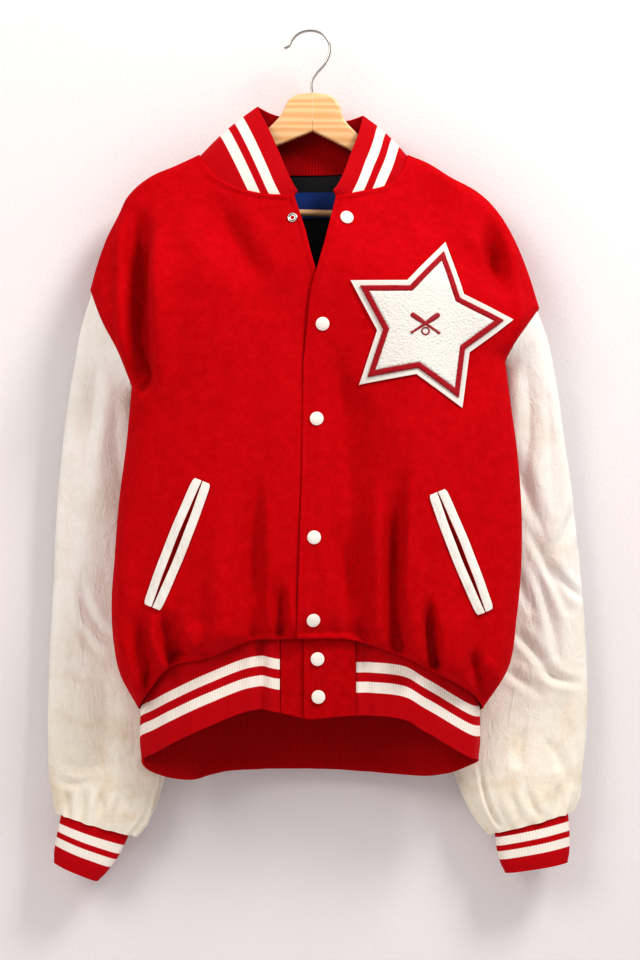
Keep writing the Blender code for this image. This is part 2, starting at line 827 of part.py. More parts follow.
def make_snaps(plastic, metal):
    radius = CAP_DIAMETER / 2
    dome = [
        (0, 0),
        (radius - 1.2, 0),
        (radius, 0.8),
        (radius - 0.2, 1.6),
        (radius * 0.72, CAP_HEIGHT - 0.5),
        (radius * 0.4, CAP_HEIGHT - 0.1),
        (0, CAP_HEIGHT),
    ]
    for number, (x, z, gap) in enumerate(CAPS, start=1):
        if z > FRONT_FOOT:
            base, out = np.array((x, front_y("left", x, z), z)), front_normal("left", x, z)
        else:
            base, out = np.array((x, WAIST[0][1] + TUCK - FRONT_LIFT, z)), np.array((0.0, -1.0, 0.0))
        turned(f"snap_cap_{number}", dome, base + gap * out, out, plastic)
    x, z = SOCKET
    out = front_normal("right", x, z)
    base = np.array((x, front_y("right", x, z), z)) + SOCKET_GAP * out
    ring, half = SOCKET_DIAMETER / 2 - SOCKET_WIRE, SOCKET_WIRE / 2
    loop = [
        (ring + half + half * math.cos(a), half + half * math.sin(a))
        for a in np.linspace(0, 2 * math.pi, 7)
    ]
    turned("snap_socket", loop, base, out, metal, sides=18)


# ---------------------------------------------------------------- hanger


def make_arm(side, finish):
    points = ARM_UPPER[side] + ARM_LOWER[side]
    half = HANGER_THICK / 2
    joint = SEAM / 2 * (-1 if side == "right" else 1)
    bm = bmesh.new()
    verts = []
    for x, z in points:
        if x == HANGER_JOINT_X:
            x += joint
        verts.append(bm.verts.new((x * MM, -half * MM, z * MM)))
    face = bm.faces.new(verts)
    made = bmesh.ops.extrude_face_region(bm, geom=[face])
    moved = [item for item in made["geom"] if isinstance(item, bmesh.types.BMVert)]
    bmesh.ops.translate(bm, verts=moved, vec=(0, 2 * half * MM, 0))
    bmesh.ops.recalc_face_normals(bm, faces=bm.faces)
    rims = [edge for edge in bm.edges if abs(edge.verts[0].co.y - edge.verts[1].co.y) < 1e-6]
    rims = [edge for edge in rims if abs(edge.verts[0].co.x - edge.verts[1].co.x) > 1e-6]
    bmesh.ops.bevel(
        bm, geom=rims, offset=HANGER_EDGE * MM, offset_type="OFFSET", segments=2, profile=0.5,
        affect="EDGES", clamp_overlap=True, material=-1,
    )
    bmesh.ops.recalc_face_normals(bm, faces=bm.faces)
    add_object(f"hanger_arm_{side}", bm, finish)


def wire(name, points, diameter, finish, sides_resolution):
    """A round wire or rod along the points, with flat ends."""
    data = bpy.data.curves.new(name, "CURVE")
    data.dimensions = "3D"
    data.bevel_depth = diameter / 2 * MM
    data.bevel_resolution = sides_resolution
    data.use_fill_caps = True
    line = data.splines.new("POLY")
    line.points.add(len(points) - 1)
    for target, point in zip(line.points, points):
        target.co = (*(Vector(point) * MM), 1.0)
    data.materials.append(finish)
    made = bpy.data.objects.new(name, data)
    bpy.context.collection.objects.link(made)
    return made


def make_hanger(wood, steel):
    for side in ("right", "left"):
        make_arm(side, wood)
    (start_x, start_z), (end_x, end_z) = BAR_ENDS
    wire("hanger_bar", [(start_x, 0, start_z), (end_x, 0, end_z)], BAR_DIAMETER, wood, 3)
    route = spline([(x, 0, z) for x, z in HOOK], np.linspace(0, 1, 34))
    wire("hanger_hook", [tuple(point) for point in route], HOOK_WIRE, steel, 2)


# ---------------------------------------------------------------- the whole


def main():
    for item in list(bpy.data.objects):
        bpy.data.objects.remove(item, do_unlink=True)
    wool = material("Red wool melton", (0.57, 0.004, 0.013), 0.95)
    rib = material("Red rib knit", (0.53, 0.006, 0.02), 0.9)
    leather = material("Cream leather", (0.84, 0.79, 0.68), 0.5)
    welt = material("White leather", (0.88, 0.87, 0.83), 0.45)
    satin = material("Black satin lining", (0.02, 0.02, 0.024), 0.5)
    woven = material("Blue woven label", (0.02, 0.08, 0.35), 0.6)
    felt = material("White felt", (0.86, 0.85, 0.82), 0.95)
    red = material("Red chenille", (0.5, 0.01, 0.02), 0.95)
    white = material("White chenille", (0.88, 0.88, 0.86), 0.95)
    plastic = material("White enamelled cap", (0.86, 0.83, 0.77), 0.3)
    steel = material("Steel", (0.6, 0.6, 0.6), 0.25, metallic=1.0)
    wood = material("Varnished beech", (0.80, 0.53, 0.28), 0.45)

    make_front("right", wool)
    make_front("left", wool)
    make_back(wool)
    make_lining(satin)
    make_label(woven)
    make_collar(rib)
    make_waistband(rib, wool)
    for side in ("right", "left"):
        make_sleeve(side, leather, rib)
    make_welts(welt)
    make_star(felt, red, white)
    make_snaps(plastic, steel)
    make_hanger(wood, steel)


main()
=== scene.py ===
# %% [markdown]
# # Varsity jacket on its hanger
# A wool body with leather sleeves and rib-knit collar, waistband and cuffs hangs on a wooden hanger.
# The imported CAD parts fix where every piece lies. Here each cloth piece is laid again over the same
# form with a much finer net, so that it can carry the folds, gathers and seams of real cloth.

import math

import bmesh
import bpy
import numpy as np
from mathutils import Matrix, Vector


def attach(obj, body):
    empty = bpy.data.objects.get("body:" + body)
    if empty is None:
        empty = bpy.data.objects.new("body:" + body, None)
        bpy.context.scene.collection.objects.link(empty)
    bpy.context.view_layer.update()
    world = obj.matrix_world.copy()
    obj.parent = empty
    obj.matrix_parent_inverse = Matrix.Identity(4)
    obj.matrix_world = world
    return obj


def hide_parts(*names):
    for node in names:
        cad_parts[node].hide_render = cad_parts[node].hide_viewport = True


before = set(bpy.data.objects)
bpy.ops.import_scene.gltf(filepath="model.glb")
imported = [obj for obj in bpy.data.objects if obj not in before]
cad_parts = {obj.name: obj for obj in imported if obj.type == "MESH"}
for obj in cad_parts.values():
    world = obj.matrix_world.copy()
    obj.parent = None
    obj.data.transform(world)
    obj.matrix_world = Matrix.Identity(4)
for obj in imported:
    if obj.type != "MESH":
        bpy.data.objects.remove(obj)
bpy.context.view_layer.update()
MM = 0.001
SIDES = ("right", "left")
print("CAD nodes:", len(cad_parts))

# %% [markdown]
# ## The camera
# The camera stands square to the wall at the height of the jacket's middle, 2.4 m from its front.
# It comes first, because everything else is judged through it.

# %% Camera
CAMERA_AT = (0.01193, -2.460, -0.551)
LENS_MM, SENSOR_MM = 75.0, 36.0
lens = bpy.data.cameras.new("camera")
lens.lens = LENS_MM
lens.sensor_fit = "VERTICAL"
lens.sensor_height = SENSOR_MM
camera = bpy.data.objects.new("camera", lens)
camera.location = CAMERA_AT
camera.rotation_euler = (math.radians(90), 0, 0)
bpy.context.scene.collection.objects.link(camera)
bpy.context.scene.camera = camera
bpy.context.scene.view_settings.view_transform = "Standard"
bpy.context.scene.view_settings.look = "High Contrast"
print("camera at", tuple(camera.location))

# %% [markdown]
# ## Tables of the cut
# A tailor thinks of a jacket as outlines and seams. These tables hold them in millimetres: the
# shoulder, armhole and side seam of each side, the neck, the front edges and the loop of the waist.
# They are the ones that the solids were made from, so that the fine cloth lies on the same form.

# %% Outline of the body
SHOULDER = {  # x, y, z
    "right": [(-137, 0, -151), (-169, 0, -166), (-193, 0, -176), (-214, 0, -191), (-225, 0, -203),
              (-236, -1, -226), (-249, -3, -252), (-260, -5, -282), (-270, -6, -318)],
    "left": [(120, 0, -151), (142, 0, -160), (175, 0, -180), (203, 0, -195), (218, 0, -207),
             (236, -1, -229), (250, -3, -254), (265, -5, -290), (281, -6, -340)],
}
ARMHOLE = {  # x, y, z
    "right": {
        "front": [(-270, -6, -318), (-252, -31, -360), (-234, -38, -393), (-217, -28, -437)],
        "back": [(-270, -6, -318), (-260, 15, -342), (-240, 20, -385), (-217, -28, -437)],
    },
    "left": {
        "front": [(281, -6, -340), (264, -31, -362), (246, -38, -388), (237, -28, -406)],
        "back": [(281, -6, -340), (274, 15, -360), (256, 20, -384), (237, -28, -406)],
    },
}
SIDE_SEAM = {  # x, y, z
    "right": [(-217, -28, -437), (-223, -34, -508), (-231, -38, -573), (-237, -41, -652),
              (-240, -42, -696), (-238, -42, -744), (-231, -39, -783), (-208, -32, -829)],
    "left": [(237, -28, -406), (243, -34, -456), (251, -38, -519), (256, -41, -600),
             (255, -42, -660), (250, -42, -715), (240, -39, -778), (209, -32, -829)],
}
TURN = {  # radius at the start and end of each stretch, slope past it at the start and end
    "front": {"shoulder": (11, 18, 0.38, 0.34), "armhole": (18, 24, 0.30, 0.30),
              "side": (26, 40, 0.34, 0.34)},
    "back": {"shoulder": (11, 14, 0.14, 0.14), "armhole": (14, 12, 0.14, 0.14),
             "side": (12, 15, 0.30, 0.30)},
}
FRONT_MIDDLE = [  # z, y
    (-150, -62), (-208, -72), (-300, -80), (-400, -86), (-500, -92), (-600, -97), (-700, -100),
    (-830, -98),
]
BODY_HALF = 235.0  # mm from the middle to the side
FRONT_FALLOFF = 0.2  # the share of its depth that the front loses there
BACK_MIDDLE = 26.0  # y of the back
BACK_SIDE = -5.0  # y of the back where it is tucked in before the sleeves
BACK_TUCK_X = (92.0, 158.0)  # mm from the middle, where the tuck starts and is full
BACK_TUCK_Z = (405.0, 455.0)  # mm below the hook, likewise
SOFTNESS = 7.0  # mm over which a turned edge runs into the middle
print("rows of the outline:", sum(len(rows) for table in (SHOULDER, SIDE_SEAM) for rows in table.values()))

# %% Neck, front edges and waist
NECK_FRONT = {  # x, z
    "right": [(-19, -209), (-59, -205), (-89, -196), (-116, -179), (-137, -151)],
    "left": [(31, -209), (65, -201), (92, -193), (109, -179), (120, -151)],
}
NECK_BACK = [(-137, -151), (-112, -157), (-64, -166), (0, -169), (56, -166), (98, -157), (120, -151)]
COLLAR_TOP = [  # x, y, z
    (-16, -62, -204), (-26, -49, -182), (-38, -32, -152), (-53, -16, -117), (-65, -2, -92),
    (-48, 9, -99), (0, 15, -106), (48, 9, -107), (65, -2, -103),
    (60, -16, -124), (49, -32, -155), (39, -49, -184), (30, -60, -204),
]
EDGE = {  # z, x
    "right": [(-209, -19), (-253, -5), (-278, 1), (-298, 7), (-325, 16), (-360, 24), (-745, 24)],
    "left": [(-209, 31), (-267, 17), (-295, 9), (-322, 1), (-349, -2), (-411, -8), (-551, -10),
             (-745, -16)],
}
WAIST = [  # x, y, z of the body's lower edge, z of the waistband's lower edge
    (0, -80, -740, -836), (-39, -80, -741, -828), (-71, -79, -743, -826), (-123, -75, -764, -846),
    (-165, -66, -774, -866), (-191, -51, -802, -880), (-208, -32, -829, -891), (-196, -18, -829, -906),
    (-150, -11, -826, -917), (-100, 11, -821, -909), (0, 22, -820, -908), (75, 16, -822, -911),
    (150, -11, -826, -912), (197, -18, -829, -898), (209, -32, -829, -890), (192, -54, -806, -884),
    (139, -73, -776, -852), (108, -77, -761, -836), (52, -79.5, -742, -832),
]
SIDE_AT = {"right": 6, "left": 14}  # the rows of WAIST at the side seams
WAIST_TUCK = 40.0  # mm above the waist over which the body draws in
FRONT_LIFT = 3.6  # mm by which the left front lies over the right one
FRONT_FOOT = -741.0  # z where the front edges end
TUCK = 3.6  # mm by which the waistband and tabs lie inside the body's lower edge
print("rows of the waist:", len(WAIST))

# %% [markdown]
# ## The form under the cloth
# Each panel turns in along its outline like a quarter circle, runs flatter towards the middle and
# draws in above the waistband. One function gives that depth for any point of the front or back.
# Working it out for whole arrays at once keeps a net of tens of thousands of points quick.


# %% Curves
def spline(rows, at):
    """Points at shares `at` of the chords of a smooth curve through the rows."""
    rows = np.array(rows, float)
    at = np.asarray(at, float)
    chords = np.linalg.norm(np.diff(rows, axis=0), axis=1)
    knots = np.concatenate([[0.0], np.cumsum(chords)]) / chords.sum()
    slopes = np.gradient(rows, knots, axis=0)
    low = np.clip(np.searchsorted(knots, at, side="right") - 1, 0, len(rows) - 2)
    span = (knots[low + 1] - knots[low])[:, None]
    t = (at[:, None] - knots[low][:, None]) / span
    start = (1 + 2 * t) * (1 - t) ** 2 * rows[low] + t * (1 - t) ** 2 * span * slopes[low]
    end = t**2 * (3 - 2 * t) * rows[low + 1] + t**2 * (t - 1) * span * slopes[low + 1]
    return start + end


def closed_spline(rows, count):
    """Evenly spaced points on a smooth loop through the rows, and their row numbers."""
    rows = np.array(rows, float)
    at = np.arange(count) * len(rows) / count
    low = at.astype(int)
    t = (at - low)[:, None]
    before, here = rows[(low - 1) % len(rows)], rows[low % len(rows)]
    after, beyond = rows[(low + 1) % len(rows)], rows[(low + 2) % len(rows)]
    points = 0.5 * (
        2 * here + (after - before) * t
        + (2 * before - 5 * here + 4 * after - beyond) * t**2
        + (3 * here - before - 3 * after + beyond) * t**3
    )
    return points, at


def smoothstep(low, high, value):
    t = np.clip((np.asarray(value, float) - low) / (high - low), 0.0, 1.0)
    return t * t * (3 - 2 * t)


def quarter_round(t):
    return np.sqrt(np.maximum(0.0, 1 - (1 - np.clip(t, 0.0, 1.0)) ** 2))


def crowded(count, share):
    """Shares from 0 to 1 that lie closer together at both ends."""
    t = np.linspace(0, 1, count + 1)
    return (1 - share) * t + share * (1 - np.cos(math.pi * t)) / 2


# %% Outlines of the front and the back
def outline(face):
    """Points round a face, the radius and slope of its turn at each, and the segments between."""
    points, radii, slopes, starts, ends = [], [], [], [], []
    along = np.linspace(0, 1, 50)
    for side in SIDES:
        stretches = {"shoulder": SHOULDER[side], "armhole": ARMHOLE[side][face], "side": SIDE_SEAM[side]}
        for name, rows in stretches.items():
            radius_start, radius_end, slope_start, slope_end = TURN[face][name]
            line = spline(rows, along)
            points.append(line)
            starts.append(line[:-1])
            ends.append(line[1:])
            radii.append(np.interp(along, (0, 1), (radius_start, radius_end)))
            slopes.append(np.interp(along, (0, 1), (slope_start, slope_end)))
    return [np.concatenate(found) for found in (points, radii, slopes, starts, ends)]


def waist_half(face):
    """The front or back half of the waist's loop, from the wearer's right to the left."""
    loop, row = closed_spline(WAIST, 100 * len(WAIST))
    at_back = (row >= SIDE_AT["right"]) & (row <= SIDE_AT["left"])
    half = loop[at_back if face == "back" else ~at_back]
    return half[np.argsort(half[:, 0])]


OUTLINES = {face: outline(face) for face in ("front", "back")}
WAIST_HALVES = {face: waist_half(face) for face in ("front", "back")}
print({face: len(found[0]) for face, found in OUTLINES.items()}, "outline points")


# %% Depth of the body
def to_segments(x, z, starts, ends):
    """Distance from each point to each segment, the side it lies on, and how far along it is nearest."""
    along = ends - starts
    length2 = (along**2).sum(axis=1) + 1e-9
    from_x, from_z = x[:, None] - starts[:, 0], z[:, None] - starts[:, 1]
    t = np.clip((from_x * along[:, 0] + from_z * along[:, 1]) / length2, 0, 1)
    away = np.hypot(from_x - t * along[:, 0], from_z - t * along[:, 1])
    sideways = np.sign(from_x * along[:, 1] - from_z * along[:, 0])
    return away, sideways, t


def waist_at(face, x):
    half = WAIST_HALVES[face]
    return np.interp(x, half[:, 0], half[:, 1]), np.interp(x, half[:, 0], half[:, 2])


def body_form(face, x, z):
    """y of the body's outer surface at arrays of x and z, and how far each point is from the outline."""
    points, radii, slopes, starts, ends = OUTLINES[face]
    shape, x, z = np.shape(x), np.ravel(x).astype(float), np.ravel(z).astype(float)
    y, edge_away = np.empty(len(x)), np.empty(len(x))
    for some in np.array_split(np.arange(len(x)), len(x) // 3000 + 1):
        away = np.hypot(points[:, 0] - x[some, None], points[:, 2] - z[some, None])
        weight = (away + 4.0) ** -6
        weight /= weight.sum(axis=1)[:, None]
        edge_y, radius, slope = weight @ points[:, 1], weight @ radii, weight @ slopes
        near = to_segments(x[some], z[some], starts[:, [0, 2]], ends[:, [0, 2]])[0].min(axis=1)
        rise = radius * quarter_round(near / radius) + slope * near
        if face == "front":
            heights, depths = zip(*reversed(FRONT_MIDDLE))
            middle = np.interp(z[some], heights, depths)
            middle = middle * (1 - FRONT_FALLOFF * (x[some] / BODY_HALF) ** 2)
            outward = -1
        else:
            tucked = smoothstep(*BACK_TUCK_X, abs(x[some])) * smoothstep(*BACK_TUCK_Z, -z[some])
            middle = BACK_MIDDLE + (BACK_SIDE - BACK_MIDDLE) * tucked
            outward = 1
        full = outward * (middle - edge_y)
        least = np.minimum(rise, full)
        both = np.exp((least - rise) / SOFTNESS) + np.exp((least - full) / SOFTNESS)
        soft = least - SOFTNESS * np.log(both)
        waist_y, waist_z = waist_at(face, x[some])
        share = quarter_round((z[some] - waist_z) / WAIST_TUCK)
        y[some] = waist_y + (edge_y + outward * soft - waist_y) * share
        edge_away[some] = near
    return y.reshape(shape), edge_away.reshape(shape)


def front_y(side, x, z):
    y, _ = body_form("front", x, z)
    return y - FRONT_LIFT * (1 - smoothstep(45, 110, x)) if side == "left" else y


chest_y = float(front_y("right", np.array([-60.0]), np.array([-400.0]))[0])
print("front at the chest lies at y", round(chest_y, 1))

# %% [markdown]
# ## Laying a net of cloth
# A flat grid from bmesh is the cloth off the roll. Its points move to the places that the form
# gives, its corners get a UV map in millimetres of real cloth, and Solidify gives the wall its
# thickness inwards. A small Bevel on the rim rounds the raw edge, as a turned or felted edge is.


# %% Measuring a net of points, rows by columns
def outward_normals(net, outward):
    """Unit normals on the side that `outward` names."""
    normal = np.cross(np.gradient(net, axis=1), np.gradient(net, axis=0))
    normal = normal / (np.linalg.norm(normal, axis=2)[:, :, None] + 1e-9)
    return normal if (normal * outward(net)).sum() > 0 else -normal


def run_length(points):
    """How far each point lies along its line from the first one."""
    steps = np.linalg.norm(np.diff(points, axis=0), axis=-1)
    return np.concatenate([np.zeros_like(steps[:1]), np.cumsum(steps, axis=0)])


def unrolled(net):
    """u and v of each point in mm: along its row from the first column and down its column."""
    return run_length(net.swapaxes(0, 1)).T, run_length(net)


def forwards(points):
    return np.broadcast_to(np.array((0.0, -1.0, 0.0)), points.shape)


def backwards(points):
    return np.broadcast_to(np.array((0.0, 1.0, 0.0)), points.shape)


def from_axis(points):
    """Away from the upright line inside the jacket."""
    return points * np.array((1.0, 1.0, 0.0)) + np.array((0.0, 25.0, 0.0))


# %% Making a piece
def link(name, mesh, finishes):
    """A smooth object for the mesh, at the origin."""
    mesh.shade_smooth()
    for finish in finishes:
        mesh.materials.append(finish)
    piece = bpy.data.objects.new(name, mesh)
    bpy.context.scene.collection.objects.link(piece)
    return piece


def finished(name, bm, finishes):
    mesh = bpy.data.meshes.new(name)
    bm.to_mesh(mesh)
    bm.free()
    return link(name, mesh, finishes)


def place(piece, node):
    """The piece rides on the one body and stands for its CAD node, which it hides."""
    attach(piece, "root")
    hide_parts(node)
    return piece


# %% Laying cloth
def lay_cloth(name, net, wall, finishes, outward, uv=None, closed=False, rim=0.45):
    """A wall of cloth whose outer face passes through the net. finishes: outer and, if given, inner."""
    rows, columns = net.shape[:2]
    bm = bmesh.new()
    bmesh.ops.create_grid(bm, x_segments=columns - 1, y_segments=rows - 1, size=1.0)
    bm.verts.ensure_lookup_table()
    for vertex, point in zip(bm.verts, net.reshape(-1, 3)):
        vertex.co = point * MM
    u, v = unrolled(net) if uv is None else uv
    layer = bm.loops.layers.uv.new("cloth_mm")
    u, v = np.ravel(u), np.ravel(v)
    for face in bm.faces:
        for loop in face.loops:
            loop[layer].uv = (u[loop.vert.index], v[loop.vert.index])
    if closed:
        bmesh.ops.remove_doubles(bm, verts=bm.verts, dist=1e-7)
    bm.normal_update()
    centres = np.array([face.calc_center_median() for face in bm.faces]) / MM
    normals = np.array([face.normal for face in bm.faces])
    if (normals * outward(centres)).sum() < 0:
        bmesh.ops.reverse_faces(bm, faces=bm.faces)
    piece = finished(name, bm, finishes)
    solid = piece.modifiers.new("Wall", "SOLIDIFY")
    solid.thickness = wall * MM
    solid.offset = -1.0
    solid.use_quality_normals = True
    if len(finishes) > 1:
        solid.material_offset = 1
    if rim:
        edge = piece.modifiers.new("Rim", "BEVEL")
        edge.width = rim * wall * MM
        edge.segments = 2
        edge.limit_method = "ANGLE"
        edge.angle_limit = math.radians(60)
        edge.harden_normals = False
    print(f"{name}: {rows} by {columns} points")
    return piece


# %% [markdown]
# ## Materials
# Each finish is named for the real material. One function turns sRGB hex values to linear colour,
# and one adds a node with its settings, links and colour stops. Colours and numbers that are the
# same all over a finish are set on the shader itself.


# %% Material helpers
def linear(code):
    """Linear RGBA of an sRGB hex colour."""
    values = [int(code[i : i + 2], 16) / 255 for i in (1, 3, 5)]
    return (*[v / 12.92 if v <= 0.04045 else ((v + 0.055) / 1.055) ** 2.4 for v in values], 1.0)


def add(tree, kind, inputs=None, stops=(), **settings):
    """Adds a node. inputs maps a socket's name or number to a value, or to the output that feeds it.
    stops are pairs of place and hex colour for a ramp."""
    made = tree.nodes.new("ShaderNode" + kind)
    for key, value in settings.items():
        setattr(made, key, value)
    for socket, value in (inputs or {}).items():
        if isinstance(value, bpy.types.NodeSocket):
            tree.links.new(value, made.inputs[socket])
        else:
            made.inputs[socket].default_value = value
    if stops:
        elements = made.color_ramp.elements
        while len(elements) < len(stops):
            elements.new(0.5)
        for element, (at, code) in zip(elements, stops):
            element.position = at
            element.color = linear(code)
    return made


def new_material(name, values):
    """A Principled material. values maps the shader's own sockets to numbers or colours."""
    made = bpy.data.materials.new(name)
    made.use_nodes = True
    tree = made.node_tree
    shader = tree.nodes["Principled BSDF"]
    for socket, value in values.items():
        shader.inputs[socket].default_value = value
    return made, tree, shader


PER_METRE = 1000.0  # a pattern of n mm has scale PER_METRE / n on Object coordinates in metres

# %% [markdown]
# ### Wool melton
# Melton is woven wool, milled and brushed until the weave is gone under a short felted nap. The eye
# sees a flat, deep red with slightly paler, mottled fibre ends and a soft bloom at grazing angles.
# Two noises give the mottle and the nap, sheen gives the bloom, and a groove follows the stitches:
# each panel keeps an attribute that is 1 on its row of stitches and 0 away from it.


# %% Wool
NAP, MOTTLE = 1.6, 12.0  # mm
STITCH_DEPTH = -3.0  # of the groove, in heights of the nap


def wool_material(name, dark, mid, light, stitched):
    made, tree, shader = new_material(name, {
        "Roughness": 0.95, "IOR": 1.45, "Specular IOR Level": 0.15,
        "Sheen Weight": 0.12, "Sheen Roughness": 0.4, "Sheen Tint": linear("#F23A44"),
    })
    place_in = add(tree, "TexCoord").outputs["Object"]
    nap = add(tree, "TexNoise", {
        "Vector": place_in, "Scale": PER_METRE / NAP, "Detail": 5.0, "Roughness": 0.75}).outputs["Fac"]
    mottle = add(tree, "TexNoise", {
        "Vector": place_in, "Scale": PER_METRE / MOTTLE, "Detail": 5.0, "Roughness": 0.7}).outputs["Fac"]
    both = add(tree, "Math", {0: nap, 1: mottle}, operation="ADD").outputs[0]
    half = add(tree, "Math", {0: both, 1: 0.5}, operation="MULTIPLY").outputs[0]
    colour = add(tree, "ValToRGB", {0: half}, stops=[(0.36, dark), (0.5, mid), (0.64, light)]).outputs[0]
    tree.links.new(colour, shader.inputs["Base Color"])
    height = nap
    if stitched:
        line = add(tree, "Attribute", attribute_name="stitch_groove").outputs["Fac"]
        height = add(tree, "Math", {0: line, 1: STITCH_DEPTH, 2: nap}, operation="MULTIPLY_ADD").outputs[0]
    bump = add(tree, "Bump", {"Height": height, "Strength": 0.35, "Distance": 0.9 * MM}).outputs[0]
    tree.links.new(bump, shader.inputs["Normal"])
    return made


WOOL = wool_material("Red wool melton", "#B60414", "#C20818", "#CE0F22", stitched=True)
WOOL_PLAIN = wool_material("Red wool melton, plain", "#A6020E", "#B80615", "#C60E20", stitched=False)

# %% [markdown]
# ### Rib knit
# The collar, waistband and cuffs are a double layer of 1 by 1 rib, knitted with two white stripes.
# The ribs stand across the band. The UV map holds millimetres, so a sine across u draws ribs of
# their real width and the stripes sit at their real heights on v. The grooves between the ribs get
# a painted shade: their red and white are darker. The reverse is plain red.

# %% Rib knit
RIB_PITCH = 2.9  # mm from rib to rib
STRIPE_BLUR = 0.6  # mm over which a stripe's edge turns from red to white
RIB_JOG = 0.7  # mm that a stripe's edge steps from rib to rib


def rib_material(name, stripes, red="#C4051A", red_in_groove_shade="#B20214", white="#F6F1EA", white_in_groove_shade="#EDE5DC"):
    """stripes: pairs of v in mm where a white stripe starts and ends."""
    made, tree, shader = new_material(name, {
        "Roughness": 0.9, "Specular IOR Level": 0.2,
        "Sheen Weight": 0.2, "Sheen Roughness": 0.5, "Sheen Tint": linear("#F08088"),
    })
    uv = add(tree, "UVMap", uv_map="cloth_mm").outputs[0]
    split = add(tree, "SeparateXYZ", {0: uv})
    turn = add(tree, "Math", {0: split.outputs["X"], 1: 2 * math.pi / RIB_PITCH}, operation="MULTIPLY")
    wave = add(tree, "Math", {0: turn.outputs[0]}, operation="SINE").outputs[0]
    ribs = add(tree, "MapRange", {"Value": wave, "From Min": -1.0, "From Max": 1.0}).outputs[0]
    yarn = add(tree, "TexNoise", {"Vector": uv, "Scale": 0.9, "Detail": 3.0}).outputs["Fac"]
    fade = add(tree, "Math", {0: yarn, 1: 0.35, 2: ribs}, operation="MULTIPLY_ADD").outputs[0]
    # Painted shade: the red runs darker into the grooves between the ribs, and so does the white below.
    colour = add(tree, "ValToRGB", {0: fade}, stops=[(0.0, red_in_groove_shade), (0.7, red)]).outputs[0]
    if stripes:
        pale = add(tree, "ValToRGB", {0: fade}, stops=[(0.0, white_in_groove_shade), (0.6, white)]).outputs[0]
        jog = add(tree, "Math", {0: ribs, 1: RIB_JOG, 2: split.outputs["Y"]}, operation="MULTIPLY_ADD")
        total = None
        for stripe in stripes:
            rise, fall = (
                add(tree, "MapRange", {
                    "Value": jog.outputs[0], "From Min": at, "From Max": at + STRIPE_BLUR}).outputs[0]
                for at in stripe
            )
            band = add(tree, "Math", {0: rise, 1: fall}, operation="SUBTRACT")
            if total:
                band = add(tree, "Math", {0: total.outputs[0], 1: band.outputs[0]}, operation="ADD")
            total = band
        mixed = add(tree, "Mix", {"Factor": total.outputs[0], "A": colour, "B": pale}, data_type="RGBA")
        colour = mixed.outputs["Result"]
    tree.links.new(colour, shader.inputs["Base Color"])
    bump = add(tree, "Bump", {"Height": fade, "Strength": 0.35, "Distance": 1.0 * MM}).outputs[0]
    tree.links.new(bump, shader.inputs["Normal"])
    return made


RIB_COLLAR = rib_material("Red rib knit, collar stripes", [(22, 35), (45, 58.5)])
RIB_WAIST = rib_material("Red rib knit, waistband stripes", [(34, 46.5), (57.5, 70.5)])
RIB_CUFF = rib_material("Red rib knit, cuff stripes", [(14, 25), (32, 43)])
RIB_PLAIN = rib_material("Red rib knit, reverse", [], red="#B80212", red_in_groove_shade="#98020C")

# %% [markdown]
# ### Leather
# The sleeves are cream cowhide. Its fine pebbled grain shows as cells of about 1.5 mm, it has the
# soft gloss of a worn coating, and it is darker, creamier and stained at the forearms and the cuffs.


# %% Leather
CLOUD, BLOTCH, GRAIN, CREASE = 60.0, 55.0, 1.7, 16.0  # mm


def leather_material(name, light, shade, stain, stain_from, stain_to, amount):
    """The colour turns darker and creamier, and stains grow, from height stain_from down to stain_to, in
    metres on Object coordinates.
    """
    made, tree, shader = new_material(name, {"Roughness": 0.42, "IOR": 1.45, "Specular IOR Level": 0.45})
    place_in = add(tree, "TexCoord").outputs["Object"]
    split = add(tree, "SeparateXYZ", {0: place_in})
    cloud = add(tree, "TexNoise", {
        "Vector": place_in, "Scale": PER_METRE / CLOUD, "Detail": 5.0, "Roughness": 0.6}).outputs["Fac"]
    base = add(tree, "ValToRGB", {0: cloud}, stops=[(0.3, shade), (0.55, light)]).outputs[0]
    blotch = add(tree, "TexNoise", {
        "Vector": place_in, "Scale": PER_METRE / BLOTCH, "Detail": 6.0, "Roughness": 0.65,
        "Distortion": 0.4}).outputs["Fac"]
    low = add(tree, "MapRange", {
        "Value": split.outputs["Z"], "From Min": stain_from, "From Max": stain_to,
        "To Min": 0.0, "To Max": amount}).outputs[0]
    # Darker and creamier towards the cuffs.
    creamier_lower_down = add(tree, "Mix", {"Factor": low, "A": base, "B": linear("#F3E9D2")}, data_type="RGBA")
    soiled = add(tree, "MapRange", {"Value": blotch, "From Min": 0.48, "From Max": 0.74}).outputs[0]
    share = add(tree, "Math", {0: soiled, 1: low}, operation="MULTIPLY", use_clamp=True).outputs[0]
    mixed = add(tree, "Mix", {
        "Factor": share, "A": creamier_lower_down.outputs["Result"], "B": linear(stain)}, data_type="RGBA")
    tree.links.new(mixed.outputs["Result"], shader.inputs["Base Color"])
    grain = add(tree, "TexVoronoi", {"Vector": place_in, "Scale": PER_METRE / GRAIN},
                feature="DISTANCE_TO_EDGE").outputs["Distance"]
    drawn = add(tree, "Mapping", {"Vector": place_in, "Rotation": (0, 0.5, 0), "Scale": (1.0, 1.0, 0.4)})
    creases = add(tree, "TexNoise", {
        "Vector": drawn.outputs[0], "Scale": PER_METRE / CREASE, "Detail": 5.0, "Roughness": 0.55,
        "Distortion": 1.2}).outputs["Fac"]
    height = add(tree, "Math", {0: creases, 1: 4.0, 2: grain}, operation="MULTIPLY_ADD").outputs[0]
    bump = add(tree, "Bump", {"Height": height, "Strength": 0.55, "Distance": 1.4 * MM}).outputs[0]
    tree.links.new(bump, shader.inputs["Normal"])
    return made


